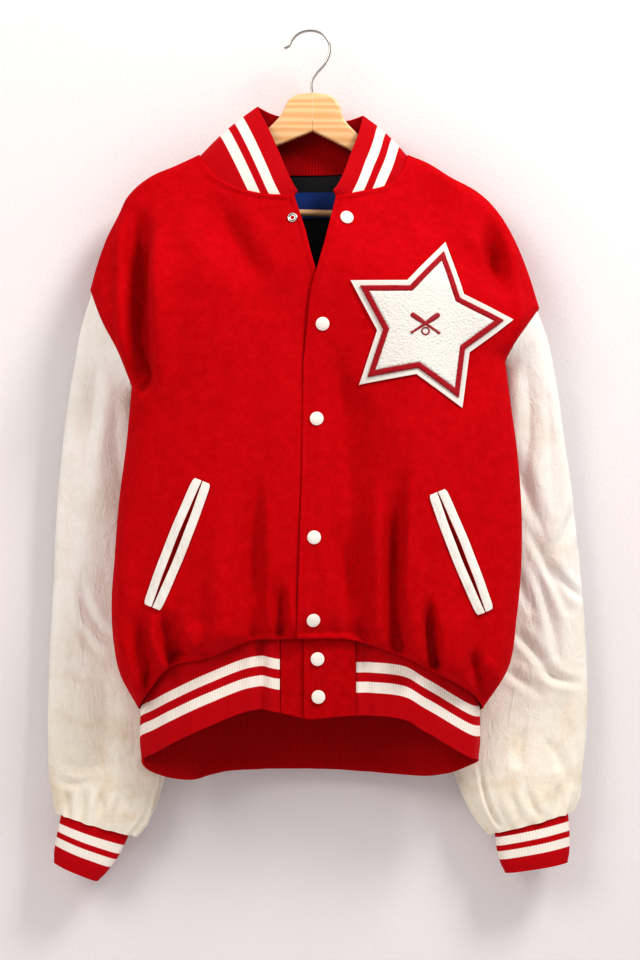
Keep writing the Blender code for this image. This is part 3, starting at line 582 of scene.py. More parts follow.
LEATHER = leather_material("Cream cowhide", "#FAF8F4", "#F1ECE3", "#CDA768", -0.68, -0.97, 0.5)
LEATHER_WELT = leather_material("White cowhide, welts", "#F6F4F0", "#EDEAE4", "#D8C8B0", -0.60, -0.95, 0.3)

# %% [markdown]
# ### The smaller finishes
# Black satin lines the body and a blue woven label sits in the neck. The patch is looped chenille
# on felt. The snap caps are enamelled white, the socket and the hook are plated steel.


# %% Lining, label, felt, chenille, enamel, steel
def plain_material(name, code, roughness, metallic=0.0, sheen=0.0, pattern_mm=None, depth_mm=0.0,
                   cells=False):
    """A finish of one colour, with a bump of noise or of raised cells of pattern_mm."""
    made, tree, shader = new_material(name, {
        "Base Color": linear(code), "Roughness": roughness, "Metallic": metallic, "Sheen Weight": sheen,
    })
    if pattern_mm:
        place_in = add(tree, "TexCoord").outputs["Object"]
        pattern = {"Vector": place_in, "Scale": PER_METRE / pattern_mm}
        if cells:
            height = add(tree, "TexVoronoi", pattern, feature="SMOOTH_F1").outputs["Distance"]
        else:
            height = add(tree, "TexNoise", pattern | {"Detail": 4.0}).outputs["Fac"]
        bump = add(tree, "Bump", {"Height": height, "Strength": 0.8, "Distance": depth_mm * MM}, invert=cells)
        tree.links.new(bump.outputs[0], shader.inputs["Normal"])
    return made


LINING = plain_material("Black satin lining", "#16151A", 0.45, sheen=0.1)
LABEL = plain_material("Blue woven label", "#1F4C9C", 0.6, pattern_mm=0.8, depth_mm=0.2)
FELT = plain_material("White felt", "#E4E2DE", 0.95, sheen=0.2, pattern_mm=1.2, depth_mm=0.35)
LOOPED = {"sheen": 0.3, "pattern_mm": 2.6, "depth_mm": 1.4, "cells": True}
CHENILLE_WHITE = plain_material("White chenille", "#E6E4E0", 0.95, **LOOPED)
CHENILLE_RED = plain_material("Red chenille", "#A80A20", 0.95, **LOOPED)
ENAMEL = plain_material("White enamelled brass", "#F4F0EA", 0.25)
STEEL = plain_material("Nickel-plated steel", "#C8C6C2", 0.22, metallic=1.0, pattern_mm=3.0, depth_mm=0.02)

# %% [markdown]
# ### Beech
# The hanger is clear-varnished beech: pale and warm, with fine growth lines along each arm.
# The rings are stretched along x, since the boards were cut along their length.


# %% Wood
RING = 30.0  # mm from growth line to growth line


def wood_material():
    made, tree, shader = new_material("Varnished beech", {
        "Roughness": 0.4, "Coat Weight": 0.3, "Coat Roughness": 0.2})
    place_in = add(tree, "TexCoord").outputs["Object"]
    stretched = add(tree, "Mapping", {"Vector": place_in, "Scale": (0.12, 1.0, 1.0)}).outputs[0]
    rings = add(tree, "TexWave", {
        "Vector": stretched, "Scale": PER_METRE / RING, "Distortion": 5.0, "Detail": 3.0,
        "Detail Scale": 1.5}, bands_direction="Z").outputs["Fac"]
    colour = add(tree, "ValToRGB", {0: rings}, stops=[(0.0, "#E9B682"), (0.6, "#F1C493"), (1.0, "#F6D0A2")])
    tree.links.new(colour.outputs[0], shader.inputs["Base Color"])
    return made


WOOD = wood_material()
print("materials:", len(bpy.data.materials))

# %% [markdown]
# ## Folds
# Heavy wool makes few, broad folds. Each row of these tables is one: where it starts, bends and
# ends, how wide it is on its two flanks and how deep. A valley has a negative depth and a ridge a
# positive one. The last column tells how much of the depth is left at its end, since gathers are
# deepest where the waistband holds them.

# %% Folds of the body
BROAD = [  # the columns of FOLDS; the two fronts share these swells, so that they stay closed
    (14, -270, 22, -480, 26, -738, 50, 58, -13, 0.7),
    (-150, -230, -140, -420, -150, -690, 55, 60, 7, 0.6),
    (122, -260, 128, -470, 132, -690, 50, 48, 8, 0.6),
]
FOLDS = {  # x, z of the start, bend and end; widths of the left and right flank; depth; share at the end
    "front_right": [
        (-211, -214, -211, -300, -205, -425, 9, 15, -24, 0.8),
        (-190, -230, -186, -300, -182, -420, 16, 20, 5, 0.3),
        (-130, -182, -92, -262, -44, -330, 22, 15, -8, 0.2),
        (-160, -200, -150, -300, -130, -420, 30, 30, 3, 0.1),
        (-63, -520, -62, -640, -59, -735, 22, 7, -11, 0.9),
        (-36, -660, -35, -705, -37, -742, 12, 6, -11, 0.9),
        (-108, -600, -104, -690, -100, -752, 22, 22, 5, 0.8),
        (-170, -700, -172, -740, -158, -772, 7, 16, -16, 1.0),
        (-204, -705, -198, -750, -184, -800, 12, 9, -13, 1.0),
        (-160, -768, -130, -764, -98, -754, 9, 12, -8, 1.0),
        (-20, -340, -30, -500, -28, -640, 18, 26, 4, 0.2),
        (-227, -560, -226, -640, -224, -740, 14, 14, 3, 0.3),
    ],
    "front_left": [
        (222, -225, 229, -300, 236, -395, 15, 9, -20, 0.8),
        (196, -230, 200, -310, 204, -420, 18, 18, 5, 0.3),
        (145, -165, 150, -220, 146, -262, 26, 24, -5, 0.1),
        (38, -380, 44, -500, 52, -735, 16, 34, -9, 0.6),
        (26, -590, 52, -660, 70, -735, 14, 20, -7, 0.7),
        (82, -520, 80, -640, 84, -742, 14, 14, 7, 0.9),
        (113, -520, 102, -640, 107, -750, 15, 6, -16, 1.0),
        (128, -600, 127, -690, 125, -760, 9, 10, 5, 1.0),
        (139, -680, 143, -730, 149, -770, 9, 6, -13, 1.0),
        (172, -690, 172, -740, 170, -782, 16, 16, 6, 0.8),
        (205, -750, 198, -775, 219, -812, 9, 9, -10, 0.8),
        (214, -330, 205, -450, 190, -560, 26, 26, 3, 0.1),
    ],
    "back": [
        (-204, -240, -206, -300, -212, -400, 16, 12, -9, 0.8),
        (212, -240, 218, -310, 226, -392, 12, 16, -9, 0.8),
        (-150, -215, -110, -300, -60, -420, 26, 22, 5, 0.1),
        (146, -215, 108, -290, 64, -400, 22, 26, 5, 0.1),
        (-96, -560, -92, -700, -98, -822, 18, 14, -9, 1.0),
        (-52, -620, -50, -730, -47, -822, 14, 12, -6, 1.0),
        (8, -580, 4, -700, 2, -822, 20, 18, -7, 1.0),
        (61, -640, 58, -740, 62, -822, 12, 14, -8, 1.0),
        (112, -600, 108, -720, 104, -822, 14, 18, -7, 1.0),
        (168, -680, 166, -760, 160, -824, 12, 12, -7, 1.0),
        (-160, -650, -158, -740, -152, -824, 12, 12, -7, 1.0),
    ],
}
POCKET = {"right": (-127, -552, -187, -702), "left": (150, -565, 208, -708)}  # x, z of the top and bottom end
STAR_CENTRE = (139, -368)
PATCH_HOLD = (98, 128)  # mm from the star's centre, where its hold on the cloth starts to fade and ends
FOLD_DEPTH = 1.35  # a share of the tables' depths
GATHER_LENGTH = 42.0  # mm over which the small gathers fade above the waistband
SEAM_HOLD, WAIST_HOLD, EDGE_HOLD = 14, 9, 22  # mm over which the seams, waist and front edge let go
FRONT_SEED, BACK_SEED = 5, 8  # of the gathers
print("folds:", {name: len(rows) for name, rows in FOLDS.items()})


# %% Relief of the folds
def fold_relief(rows, x, z, sharp=False):
    """How far the folds move each point out, in mm. Sharp folds are creases, as leather takes them."""
    relief = np.zeros(np.shape(x))
    flat_x, flat_z = np.ravel(x), np.ravel(z)
    for x0, z0, x1, z1, x2, z2, width_left, width_right, depth, last in rows:
        t = np.linspace(0, 1, 15)[:, None]
        bend = 2 * np.array((x1, z1)) - 0.5 * (np.array((x0, z0)) + np.array((x2, z2)))
        line = (1 - t) ** 2 * np.array((x0, z0)) + 2 * t * (1 - t) * bend + t**2 * np.array((x2, z2))
        away, sideways, along = to_segments(flat_x, flat_z, line[:-1], line[1:])
        near = away.argmin(axis=1)
        pick = np.arange(len(near)), near
        share = (near + along[pick]) / (len(line) - 1)
        width = np.where(sideways[pick] > 0, width_left, width_right)
        height = depth * smoothstep(0, 0.45, share) * (1 - (1 - last) * smoothstep(0.55, 1.0, share))
        from_line = away[pick] / width
        if sharp:
            profile = np.exp(-np.sqrt(from_line**2 + 0.02)) - 0.35 * np.exp(-((from_line - 1.6) ** 2))
        else:
            profile = np.exp(-(from_line**2)) - 0.28 * np.exp(-((from_line - 1.9) ** 2))
        relief += (height * profile).reshape(np.shape(x))
    return relief


def uneven_waves(x, seed, waves):
    """A sum of sines with uneven spacing. waves: pairs of wavelength in mm and height."""
    rng = np.random.default_rng(seed)
    total = np.zeros(np.shape(x))
    for length, height in waves:
        bend = 0.35 * np.sin(x / (length * 2.3) + rng.uniform(0, 6.3))
        total += height * np.sin(2 * math.pi * x / length + rng.uniform(0, 6.3) + bend)
    return total


def waist_gathers(face, x, z, seed):
    """Small gathers that the waistband draws into the body's lower edge."""
    _, waist_z = waist_at(face, x)
    fade = np.exp(-np.maximum(0, z - waist_z) / GATHER_LENGTH)
    return fade * uneven_waves(x, seed, [(31, 1.8), (19, 1.2), (47, 1.7)])


def seam_hold(face, x, z):
    """The share of a fold that the seams round a panel leave at each point."""
    edge_away = body_form(face, x, z)[1]
    return smoothstep(0, SEAM_HOLD, edge_away) * smoothstep(0, WAIST_HOLD, z - waist_at(face, x)[1])


def front_relief(side, x, z):
    """How far the cloth of a front lies out of its form, in mm. Its seams and its edge hold it."""
    edge_z, edge_x = zip(*sorted(EDGE[side]))
    held = smoothstep(0, EDGE_HOLD, np.abs(x - np.interp(z, edge_z, edge_x)))
    own = fold_relief(FOLDS[f"front_{side}"], x, z) + waist_gathers("front", x, z, FRONT_SEED)
    if side == "left":
        # The stiff patch keeps the cloth under it flat.
        own *= 0.1 + 0.9 * smoothstep(*PATCH_HOLD, np.hypot(x - STAR_CENTRE[0], z - STAR_CENTRE[1]))
    return (FOLD_DEPTH * own * held + fold_relief(BROAD, x, z)) * seam_hold("front", x, z)


# %% [markdown]
# ## The wool panels
# Each front is one net between the neck seam, the front edge, the armhole with the side seam and
# the waist. The back is a net from one outline to the other. The folds and gathers fade at the
# seams, where the neighbouring piece holds the cloth.


# %% Nets of the panels
SHOULDER_ROWS, ARMHOLE_ROWS, SIDE_ROWS = 36, 30, 120
FRONT_COLUMNS, BACK_COLUMNS = 96, 150
ARMHOLE_LEVELS = (0.25, 0.42)  # shares of the front edge's height beside the armhole's ends
WOOL_WALL = 2.0
EDGE_STITCH, NECK_STITCH, STITCH_WIDTH = 8.0, 7.0, 0.9  # mm from the edge or seam to its stitches


def share_along(points):
    chords = np.linalg.norm(np.diff(points, axis=0), axis=1)
    return np.concatenate([[0.0], np.cumsum(chords)]) / chords.sum()


def coons(top, bottom, first, last):
    """Points in x and z between four edges: top and bottom by columns, first and last by rows."""
    v = np.linspace(0, 1, len(first))[:, None, None]
    u = share_along(top)[None, :, None] * (1 - v) + share_along(bottom)[None, :, None] * v
    across = (1 - u) * first[:, None] + u * last[:, None]
    down = share_along(last)[:, None, None]
    along = (1 - down) * top[None] + down * bottom[None]
    corners = (
        (1 - u) * (1 - down) * top[0] + u * (1 - down) * top[-1]
        + (1 - u) * down * bottom[0] + u * down * bottom[-1]
    )
    return across + along - corners


def row_shares():
    """Shares down the side for the rows, closer together towards the waist."""
    return 1 - (1 - np.linspace(0, 1, SIDE_ROWS + 1)) ** 1.25


def outer_edge(side, face):
    shoulder = spline(SHOULDER[side], np.linspace(0, 1, SHOULDER_ROWS + 1))
    armhole = spline(ARMHOLE[side][face], np.linspace(0, 1, ARMHOLE_ROWS + 1))
    seam = spline(SIDE_SEAM[side], row_shares())
    return np.concatenate([shoulder, armhole[1:], seam[1:]])


def row_heights(top, bottom):
    """Heights of the rows at the front edge, level with those of the outer edge."""
    armhole_top, armhole_foot = (top + (bottom - top) * share for share in ARMHOLE_LEVELS)
    above = np.linspace(top, armhole_top, SHOULDER_ROWS + 1)
    beside = np.linspace(armhole_top, armhole_foot, ARMHOLE_ROWS + 1)
    below = armhole_foot + (bottom - armhole_foot) * row_shares()
    return np.concatenate([above, beside[1:], below[1:]])


def level_normals(net, outward, waist_z):
    """Unit normals that turn level towards the waist, so that gathers leave the seam's line alone."""
    normal = outward_normals(net, outward)
    normal[..., 2] *= smoothstep(0, WAIST_TUCK, net[..., 2] - waist_z)
    return normal / np.linalg.norm(normal, axis=2)[:, :, None]


def store(piece, name, values):
    """Keeps a value for each point of the net, for a material to read."""
    kept = piece.data.attributes.new(name, "FLOAT", "POINT")
    kept.data.foreach_set("value", np.ravel(values).astype(np.float32))


def stitches(away, line):
    """The groove of a row of stitches that lies `line` mm in."""
    return np.exp(-(((away - line) / STITCH_WIDTH) ** 2))


# %% The fronts
def wool_front(side):
    edge_z, edge_x = zip(*sorted(EDGE[side]))
    across = crowded(FRONT_COLUMNS, 0.5)
    neck = spline(NECK_FRONT[side], across)
    last = outer_edge(side, "front")
    start_x = np.interp(FRONT_FOOT, edge_z, edge_x)
    bottom_x = start_x + (last[-1, 0] - start_x) * across
    bottom = np.stack([bottom_x, waist_at("front", bottom_x)[1]], axis=1)
    bottom[-1] = last[-1, [0, 2]]
    first_z = row_heights(neck[0, 1], bottom[0, 1])
    first = np.stack([np.interp(first_z, edge_z, edge_x), first_z], axis=1)
    first[0] = neck[0]
    flat = coons(neck, bottom, first, last[:, [0, 2]])
    x, z = flat[..., 0], flat[..., 1]
    net = np.stack([x, front_y(side, x, z), z], axis=2)
    net[:, -1] = last
    from_edge, from_neck = unrolled(net)
    # The turned edge stands a little proud between the front edge and its row of stitches.
    proud = 1.6 if side == "left" else 0.7
    relief = front_relief(side, x, z) + proud * np.exp(-(((from_edge - 3) / 3.5) ** 2))
    # The seam allowances under the neck seam make a ridge above the row of stitches.
    ridge = 1.3 * np.exp(-(((from_neck - 3.5) / 2.4) ** 2)) - 1.2 * np.exp(-(((from_neck - 8.5) / 2.6) ** 2))
    relief += ridge * smoothstep(0, 12, from_edge)
    net += level_normals(net, forwards, waist_at("front", x)[1]) * relief[:, :, None]
    # The cloth dips into the pocket between its welts.
    top_x, top_z, low_x, low_z = POCKET[side]
    slit = (top_x, top_z, (top_x + low_x) / 2, (top_z + low_z) / 2, low_x, low_z, 2.6, 2.6, -7.0, 0.2)
    net[..., 1] -= fold_relief([slit], x, z)
    piece = lay_cloth(f"wool_front_{side}", net, WOOL_WALL, [WOOL, LINING], forwards)
    store(piece, "stitch_groove", stitches(from_edge, EDGE_STITCH) + stitches(from_neck, NECK_STITCH))
    return place(piece, f"front_{side}")


FRONTS = {side: wool_front(side) for side in SIDES}


# %% The back
def wool_back():
    spread = crowded(BACK_COLUMNS, 0.5)
    neck = spline(NECK_BACK, spread)
    first, last = outer_edge("right", "back"), outer_edge("left", "back")
    bottom_x = first[-1, 0] + (last[-1, 0] - first[-1, 0]) * spread
    bottom = np.stack([bottom_x, waist_at("back", bottom_x)[1]], axis=1)
    flat = coons(neck, bottom, first[:, [0, 2]], last[:, [0, 2]])
    x, z = flat[..., 0], flat[..., 1]
    net = np.stack([x, body_form("back", x, z)[0], z], axis=2)
    net[:, 0], net[:, -1] = first, last
    relief = fold_relief(FOLDS["back"], x, z) + waist_gathers("back", x, z, BACK_SEED)
    relief *= seam_hold("back", x, z)
    # Behind the lining the cloth can't fold inwards.
    lined = (1 - smoothstep(92, 125, abs(x))) * smoothstep(-430, -370, z)
    relief += lined * (np.maximum(relief, 0.0) - relief)
    net += level_normals(net, backwards, waist_at("back", x)[1]) * relief[:, :, None]
    piece = lay_cloth("wool_back", net, WOOL_WALL, [WOOL, LINING], backwards)
    store(piece, "stitch_groove", stitches(unrolled(net)[1], NECK_STITCH))
    return place(piece, "back")


BACK = wool_back()

# %% [markdown]
# ## The knitted collar
# The collar is a band of rib folded along its top edge and sewn into the neck. It stands a little
# rounded, so its net bows out between the fold and the seam. v counts from the fold, which is why
# the stripes run along the fold and the neck seam cuts them off at the front ends.


# %% Collar
FRONT_STEPS, BACK_STEPS, COLLAR_ROWS = 56, 96, 36
RIB_WALL = 2.8
SEAM_INSET, SEAM_OVERLAP = 2.4, 5.0  # mm that the collar runs on inside the neck seam and below it
UV_STRETCH = 1.35  # the ribs spread this much from the fold to the seam


def towards_inside(points):
    """Into the jacket and down, at the points of the neck seam."""
    way = np.stack([-0.04 * points[:, 0], -points[:, 1], np.full(len(points), -4.0)], axis=1)
    return way / np.linalg.norm(way, axis=1)[:, None]


def neck_seam():
    """The neck seam from the right front edge round the back to the left one."""
    right = spline(NECK_FRONT["right"], np.linspace(0, 1, FRONT_STEPS + 1))
    back = spline(NECK_BACK, np.linspace(0, 1, BACK_STEPS + 1))[1:-1]
    left = spline(NECK_FRONT["left"], np.linspace(0, 1, FRONT_STEPS + 1))[::-1]
    right_y, left_y = front_y("right", right[:, 0], right[:, 1]), front_y("left", left[:, 0], left[:, 1])
    right_y[-1], left_y[0] = 0.0, 0.0
    return np.concatenate([
        np.stack([right[:, 0], right_y, right[:, 1]], axis=1),
        np.stack([back[:, 0], body_form("back", back[:, 0], back[:, 1])[0], back[:, 1]], axis=1),
        np.stack([left[:, 0], left_y, left[:, 1]], axis=1),
    ])


def from_neck_hole(points):
    """Away from the middle of the neck, and up."""
    return points * np.array((1.0, 1.0, 0.0)) + np.array((0.0, 20.0, 30.0))


def knit_collar():
    seam = neck_seam()
    tops = np.concatenate([
        spline(COLLAR_TOP[:5], np.linspace(0, 1, FRONT_STEPS + 1)),
        spline(COLLAR_TOP[4:9], np.linspace(0, 1, BACK_STEPS + 1))[1:-1],
        spline(COLLAR_TOP[8:], np.linspace(0, 1, FRONT_STEPS + 1)),
    ])
    onward = seam - tops
    onward /= np.linalg.norm(onward, axis=1)[:, None]
    foot = seam + SEAM_INSET * towards_inside(seam) + SEAM_OVERLAP * onward
    share = np.linspace(0, 1, COLLAR_ROWS + 1)[:, None, None]
    net = tops + share * (foot - tops)
    normal = outward_normals(net, from_neck_hole)
    width = np.linalg.norm(foot - tops, axis=1)
    bow = np.sin(math.pi * share[..., 0]) * 3.2 * smoothstep(10, 60, width)
    u = run_length(tops)
    ripple = uneven_waves(u, 3, [(38, 0.5), (23, 0.3)])[None, :] * share[..., 0]
    net = net + normal * (bow + ripple)[:, :, None]
    uv = np.broadcast_to(u * UV_STRETCH, net.shape[:2]), share[..., 0] * width
    piece = lay_cloth("knit_collar", net, RIB_WALL, [RIB_COLLAR, RIB_PLAIN], from_neck_hole, uv=uv)
    return place(piece, "collar_rib")


COLLAR = knit_collar()

# %% [markdown]
# ## The waistband
# The waistband is the same rib, folded at its lower edge, and it runs round from one wool tab to
# the other. It grips the body, so it is a little wavy, with a few pinches. v counts from its top.

# %% Waistband
BAND_HEIGHT = 98.0
BAND_WALL = 3.0
BAND_COLUMNS, BAND_ROWS = 470, 41
TAB_X = {"right": (-36.0, 20.0), "left": (-8.0, 55.0)}  # from one edge of a tab to the other
PINCHES = [  # x, width, how far out
    (-57, 6, -7.0), (-72, 9, 3.6), (-112, 16, 1.2), (69, 7, -4.0), (88, 14, 2.0), (150, 20, 1.8),
    (-150, 20, 1.6),
]
LOOP_POINTS = 200 * len(WAIST)
FRONT_ROWS = {"right": (0, 6), "left": (13, 19)}  # the rows of WAIST in front, on each side


def band_loop():
    """The waist's loop and, at each of its points, the way in."""
    loop, _ = closed_spline(WAIST, LOOP_POINTS)
    tangent = np.roll(loop, -8, axis=0)[:, :2] - np.roll(loop, 8, axis=0)[:, :2]
    inward = np.stack([tangent[:, 1], -tangent[:, 0]], axis=1)
    return loop, inward / np.linalg.norm(inward, axis=1)[:, None]


LOOP, LOOP_INWARD = band_loop()


def loop_index(x, side):
    """Where the front of the loop passes x on that side."""
    first, last = (LOOP_POINTS * row // len(WAIST) for row in FRONT_ROWS[side])
    return first + int(np.argmin(np.abs(LOOP[first:last, 0] - x)))


def knit_waistband():
    start, end = loop_index(TAB_X["right"][0], "right"), loop_index(TAB_X["left"][1], "left")
    at = np.linspace(start, end, BAND_COLUMNS).astype(int)
    loop, inward = LOOP[at], LOOP_INWARD[at]
    share = np.linspace(0, 1, BAND_ROWS)[:, None]
    u = run_length(loop[:, :2])
    inset = TUCK - 0.9 * smoothstep(0.0, 0.6, share) + 2.2 * smoothstep(0.75, 1.0, share)
    wave = uneven_waves(u, 12, [(43, 0.7), (27, 0.5), (90, 0.8)]) * (0.4 + 0.6 * share)
    front = loop[:, 1] < -45
    for middle, width, depth in PINCHES:
        wave = wave + np.where(front, depth * np.exp(-(((loop[:, 0] - middle) / width) ** 2)), 0.0)
    reach = inset - wave
    x = loop[:, 0] + reach * inward[:, 0]
    y = loop[:, 1] + reach * inward[:, 1]
    z = loop[:, 3] + (1 - share) * BAND_HEIGHT
    net = np.stack([x, y, z], axis=2)
    uv = np.broadcast_to(u, net.shape[:2]), np.broadcast_to(share * BAND_HEIGHT, net.shape[:2])
    piece = lay_cloth("knit_waistband", net, BAND_WALL, [RIB_WAIST, RIB_PLAIN], from_axis, uv=uv)
    return place(piece, "waistband_rib")


BAND = knit_waistband()

# %% Tabs
TAB_COLUMNS, TAB_ROWS = 50, 60
TAB_WALL = 2.8
TAB_GAP = 0.3  # mm that a tab stays clear of the knit
TAB_OVERLAP = 4.0  # mm that a tab runs up behind the body's lower edge


def wool_tab(side):
    low_x, high_x = TAB_X[side]
    lift = FRONT_LIFT if side == "left" else 0.0
    half = WAIST_HALVES["front"]
    xs = np.linspace(low_x + TAB_GAP, high_x - TAB_GAP, TAB_COLUMNS)
    y = np.interp(xs, half[:, 0], half[:, 1]) + TUCK - lift
    low = np.interp(xs, half[:, 0], half[:, 3])
    top = np.interp(xs, half[:, 0], half[:, 2]) + TAB_OVERLAP
    share = np.linspace(0, 1, TAB_ROWS)[:, None]
    relief = uneven_waves(xs, 4, [(52, 0.6)]) + 0.5 * np.exp(-(((xs - low_x - 4) / 3.5) ** 2))
    sag = 0.8 * np.sin(math.pi * share)
    net = np.stack([xs + 0 * share, y - relief - sag, top + share * (low - top)], axis=2)
    piece = lay_cloth(f"wool_tab_{side}", net, TAB_WALL, [WOOL_PLAIN], forwards)
    return place(piece, f"band_tab_{side}")


TABS = {side: wool_tab(side) for side in SIDES}

# %% [markdown]
# ## The leather sleeves
# A sleeve is one tube from the armhole, where it is tucked under the edge of the wool, down to the
# gathers at the cuff. Leather creases more sharply than wool. The creases are rows again, drawn on
# the front of the tube and, shifted, on its back, and short puckers gather the end into the cuff.

# %% Sleeve tables
SLEEVE = {  # x, z of the outer edge, x, z of the inner edge, y of the middle, half depth
    "right": [
        (-282, -364, -214, -452, 3, 20), (-291, -412, -210, -484, 7, 19), (-303, -490, -195, -540, 12, 18),
        (-314, -590, -181, -620, 17, 18), (-320, -690, -174, -710, 20, 18), (-324, -790, -171, -800, 21, 19),
        (-324, -878, -173, -880, 19, 22), (-321, -925, -181, -928, 16, 25), (-314, -952, -195, -966, 12, 23),
        (-311, -962, -215, -990, 9, 18),
    ],
    "left": [
        (292, -378, 235, -425, 3, 20), (301, -420, 229, -460, 7, 19), (313, -500, 212, -530, 12, 18),
        (327, -590, 198, -610, 17, 18), (338, -690, 187, -705, 20, 18), (343, -785, 179, -795, 21, 19),
        (341, -860, 174, -870, 19, 22), (335, -915, 178, -917, 16, 25), (331, -942, 199, -962, 12, 23),
        (322, -960, 221, -987, 9, 18),
    ],
}
CUFF = {  # the columns of SLEEVE
    "right": [(-305, -955, -220, -980, 8, 14), (-311, -990, -239, -1017, 6, 14),
              (-317, -1022, -260, -1046, 4, 12)],
    "left": [(317, -955, 227, -976, 8, 14), (318, -990, 231, -1008, 6, 14),
             (318, -1022, 238, -1035, 4, 13)],
}
SLEEVE_FOLDS = {  # the columns of FOLDS
    "right": [
        (-262, -400, -268, -470, -280, -560, 14, 10, -5, 0.2),
        (-240, -430, -236, -520, -222, -640, 16, 20, -4, 0.2),
        (-300, -520, -296, -600, -300, -700, 10, 14, -3, 0.3),
        (-210, -600, -206, -700, -212, -800, 14, 12, -4, 0.3),
        (-280, -660, -272, -714, -240, -746, 8, 6, -4, 0.3),
        (-284, -728, -276, -748, -260, -766, 6, 6, -3, 0.3),
        (-310, -778, -290, -790, -266, -794, 6, 8, -3, 0.3),
        (-262, -770, -250, -830, -256, -880, 16, 14, -3, 0.4),
        (-315, -894, -276, -904, -216, -890, 6, 8, -4, 0.4),
        (-319, -916, -298, -924, -276, -922, 5, 6, -3, 0.4),
        (-200, -790, -192, -850, -200, -900, 8, 9, -4, 0.6),
        (-298, -926, -300, -945, -301, -962, 6, 6, -4, 1.0),
        (-277, -922, -279, -945, -283, -966, 6, 6, -4, 1.0),
        (-253, -926, -258, -950, -267, -972, 6, 7, -5, 1.0),
        (-232, -930, -236, -955, -244, -980, 7, 6, -4, 1.0),
        (-178, -900, -184, -935, -197, -972, 3, 3, -4, 1.0),
    ],
    "left": [
        (262, -400, 270, -470, 262, -560, 10, 14, -6, 0.3),
        (288, -420, 296, -500, 300, -600, 12, 12, -4, 0.3),
        (236, -480, 262, -560, 300, -640, 9, 11, -5, 0.4),
        (256, -590, 290, -655, 316, -710, 6, 10, -6, 0.4),
        (270, -645, 292, -710, 304, -766, 6, 8, -5, 0.4),
        (226, -560, 240, -640, 274, -710, 7, 9, -5, 0.4),
        (296, -656, 320, -684, 338, -696, 6, 6, -4, 0.4),
        (246, -734, 270, -757, 299, -795, 6, 8, -5, 0.4),
        (274, -778, 306, -796, 328, -801, 6, 6, -4, 0.4),
        (236, -784, 256, -796, 280, -814, 6, 8, -4, 0.3),
        (336, -560, 318, -610, 296, -640, 8, 8, -4, 0.3),
        (322, -800, 306, -850, 300, -900, 10, 10, -4, 0.4),
        (266, -850, 258, -872, 256, -896, 7, 9, -4, 0.4),
        (289, -866, 304, -890, 317, -922, 6, 8, -4, 0.4),
        (206, -884, 215, -938, 232, -974, 3, 3, -4, 1.0),
        (266, -920, 270, -945, 279, -962, 6, 6, -5, 1.0),
        (246, -930, 250, -950, 254, -972, 6, 6, -4, 1.0),
        (308, -920, 305, -940, 303, -958, 6, 6, -4, 1.0),
    ],
}
print("creases:", {side: len(rows) for side, rows in SLEEVE_FOLDS.items()})

# %% Tubes
TUBE_SIDES = 150
AROUND = np.linspace(0, 2 * math.pi, TUBE_SIDES + 1)
ARMHOLE_INSET = 4.5  # mm that a sleeve starts inside the armhole


def oval(row):
    """A ring from a row of SLEEVE or CUFF."""
    outer_x, outer_z, inner_x, inner_z, y, half_depth = row
    centre = np.array(((outer_x + inner_x) / 2, y, (outer_z + inner_z) / 2))
    reach = np.array(((outer_x - inner_x) / 2, 0.0, (outer_z - inner_z) / 2))
    angle = AROUND[:, None]
    return centre + np.cos(angle) * reach - np.sin(angle) * np.array((0.0, half_depth, 0.0))


def armhole_ring(side):
    """The ring just inside the armhole, where the sleeve starts."""
    half = np.linspace(0, 1, TUBE_SIDES // 2 + 1)
    front, back = (spline(ARMHOLE[side][face], half) for face in ("front", "back"))
    ring = np.concatenate([front, back[::-1][1:]])
    inwards = ring[:-1].mean(axis=0) - ring
    return ring + ARMHOLE_INSET * inwards / np.linalg.norm(inwards, axis=1)[:, None]


def along_rings(rings, shares):
    """Rings at the shares of the way along a tube through the given rings."""
    rings = np.array(rings)
    return spline(rings.reshape(len(rings), -1), shares).reshape(len(shares), *rings.shape[1:])


def from_middle(net):
    """A way out of a tube: from the nearest ring's centre."""
    centres = net[:, :-1].mean(axis=1)
    order = np.argsort(centres[:, 2])

    def outward(points):
        x = np.interp(points[..., 2], centres[order, 2], centres[order, 0])
        y = np.interp(points[..., 2], centres[order, 2], centres[order, 1])
        return np.stack([points[..., 0] - x, points[..., 1] - y, 0 * x], axis=-1)

    return outward


def tube_normals(net):
    """Unit normals of a closed tube, the seam column included."""
    around = np.concatenate([net[:, -2:-1], net, net[:, 1:2]], axis=1)
    return outward_normals(around, from_middle(net))[:, 1:-1]


# %% Leather sleeves
SLEEVE_ROWS = 250
LEATHER_WALL = 1.5
CREASE_DEPTH = 1.5  # a share of the table's depths
BEHIND = np.array((8, -30, 8, -22, 8, -12, 0, 0, 0, 0))  # shifts of a crease's columns for the back


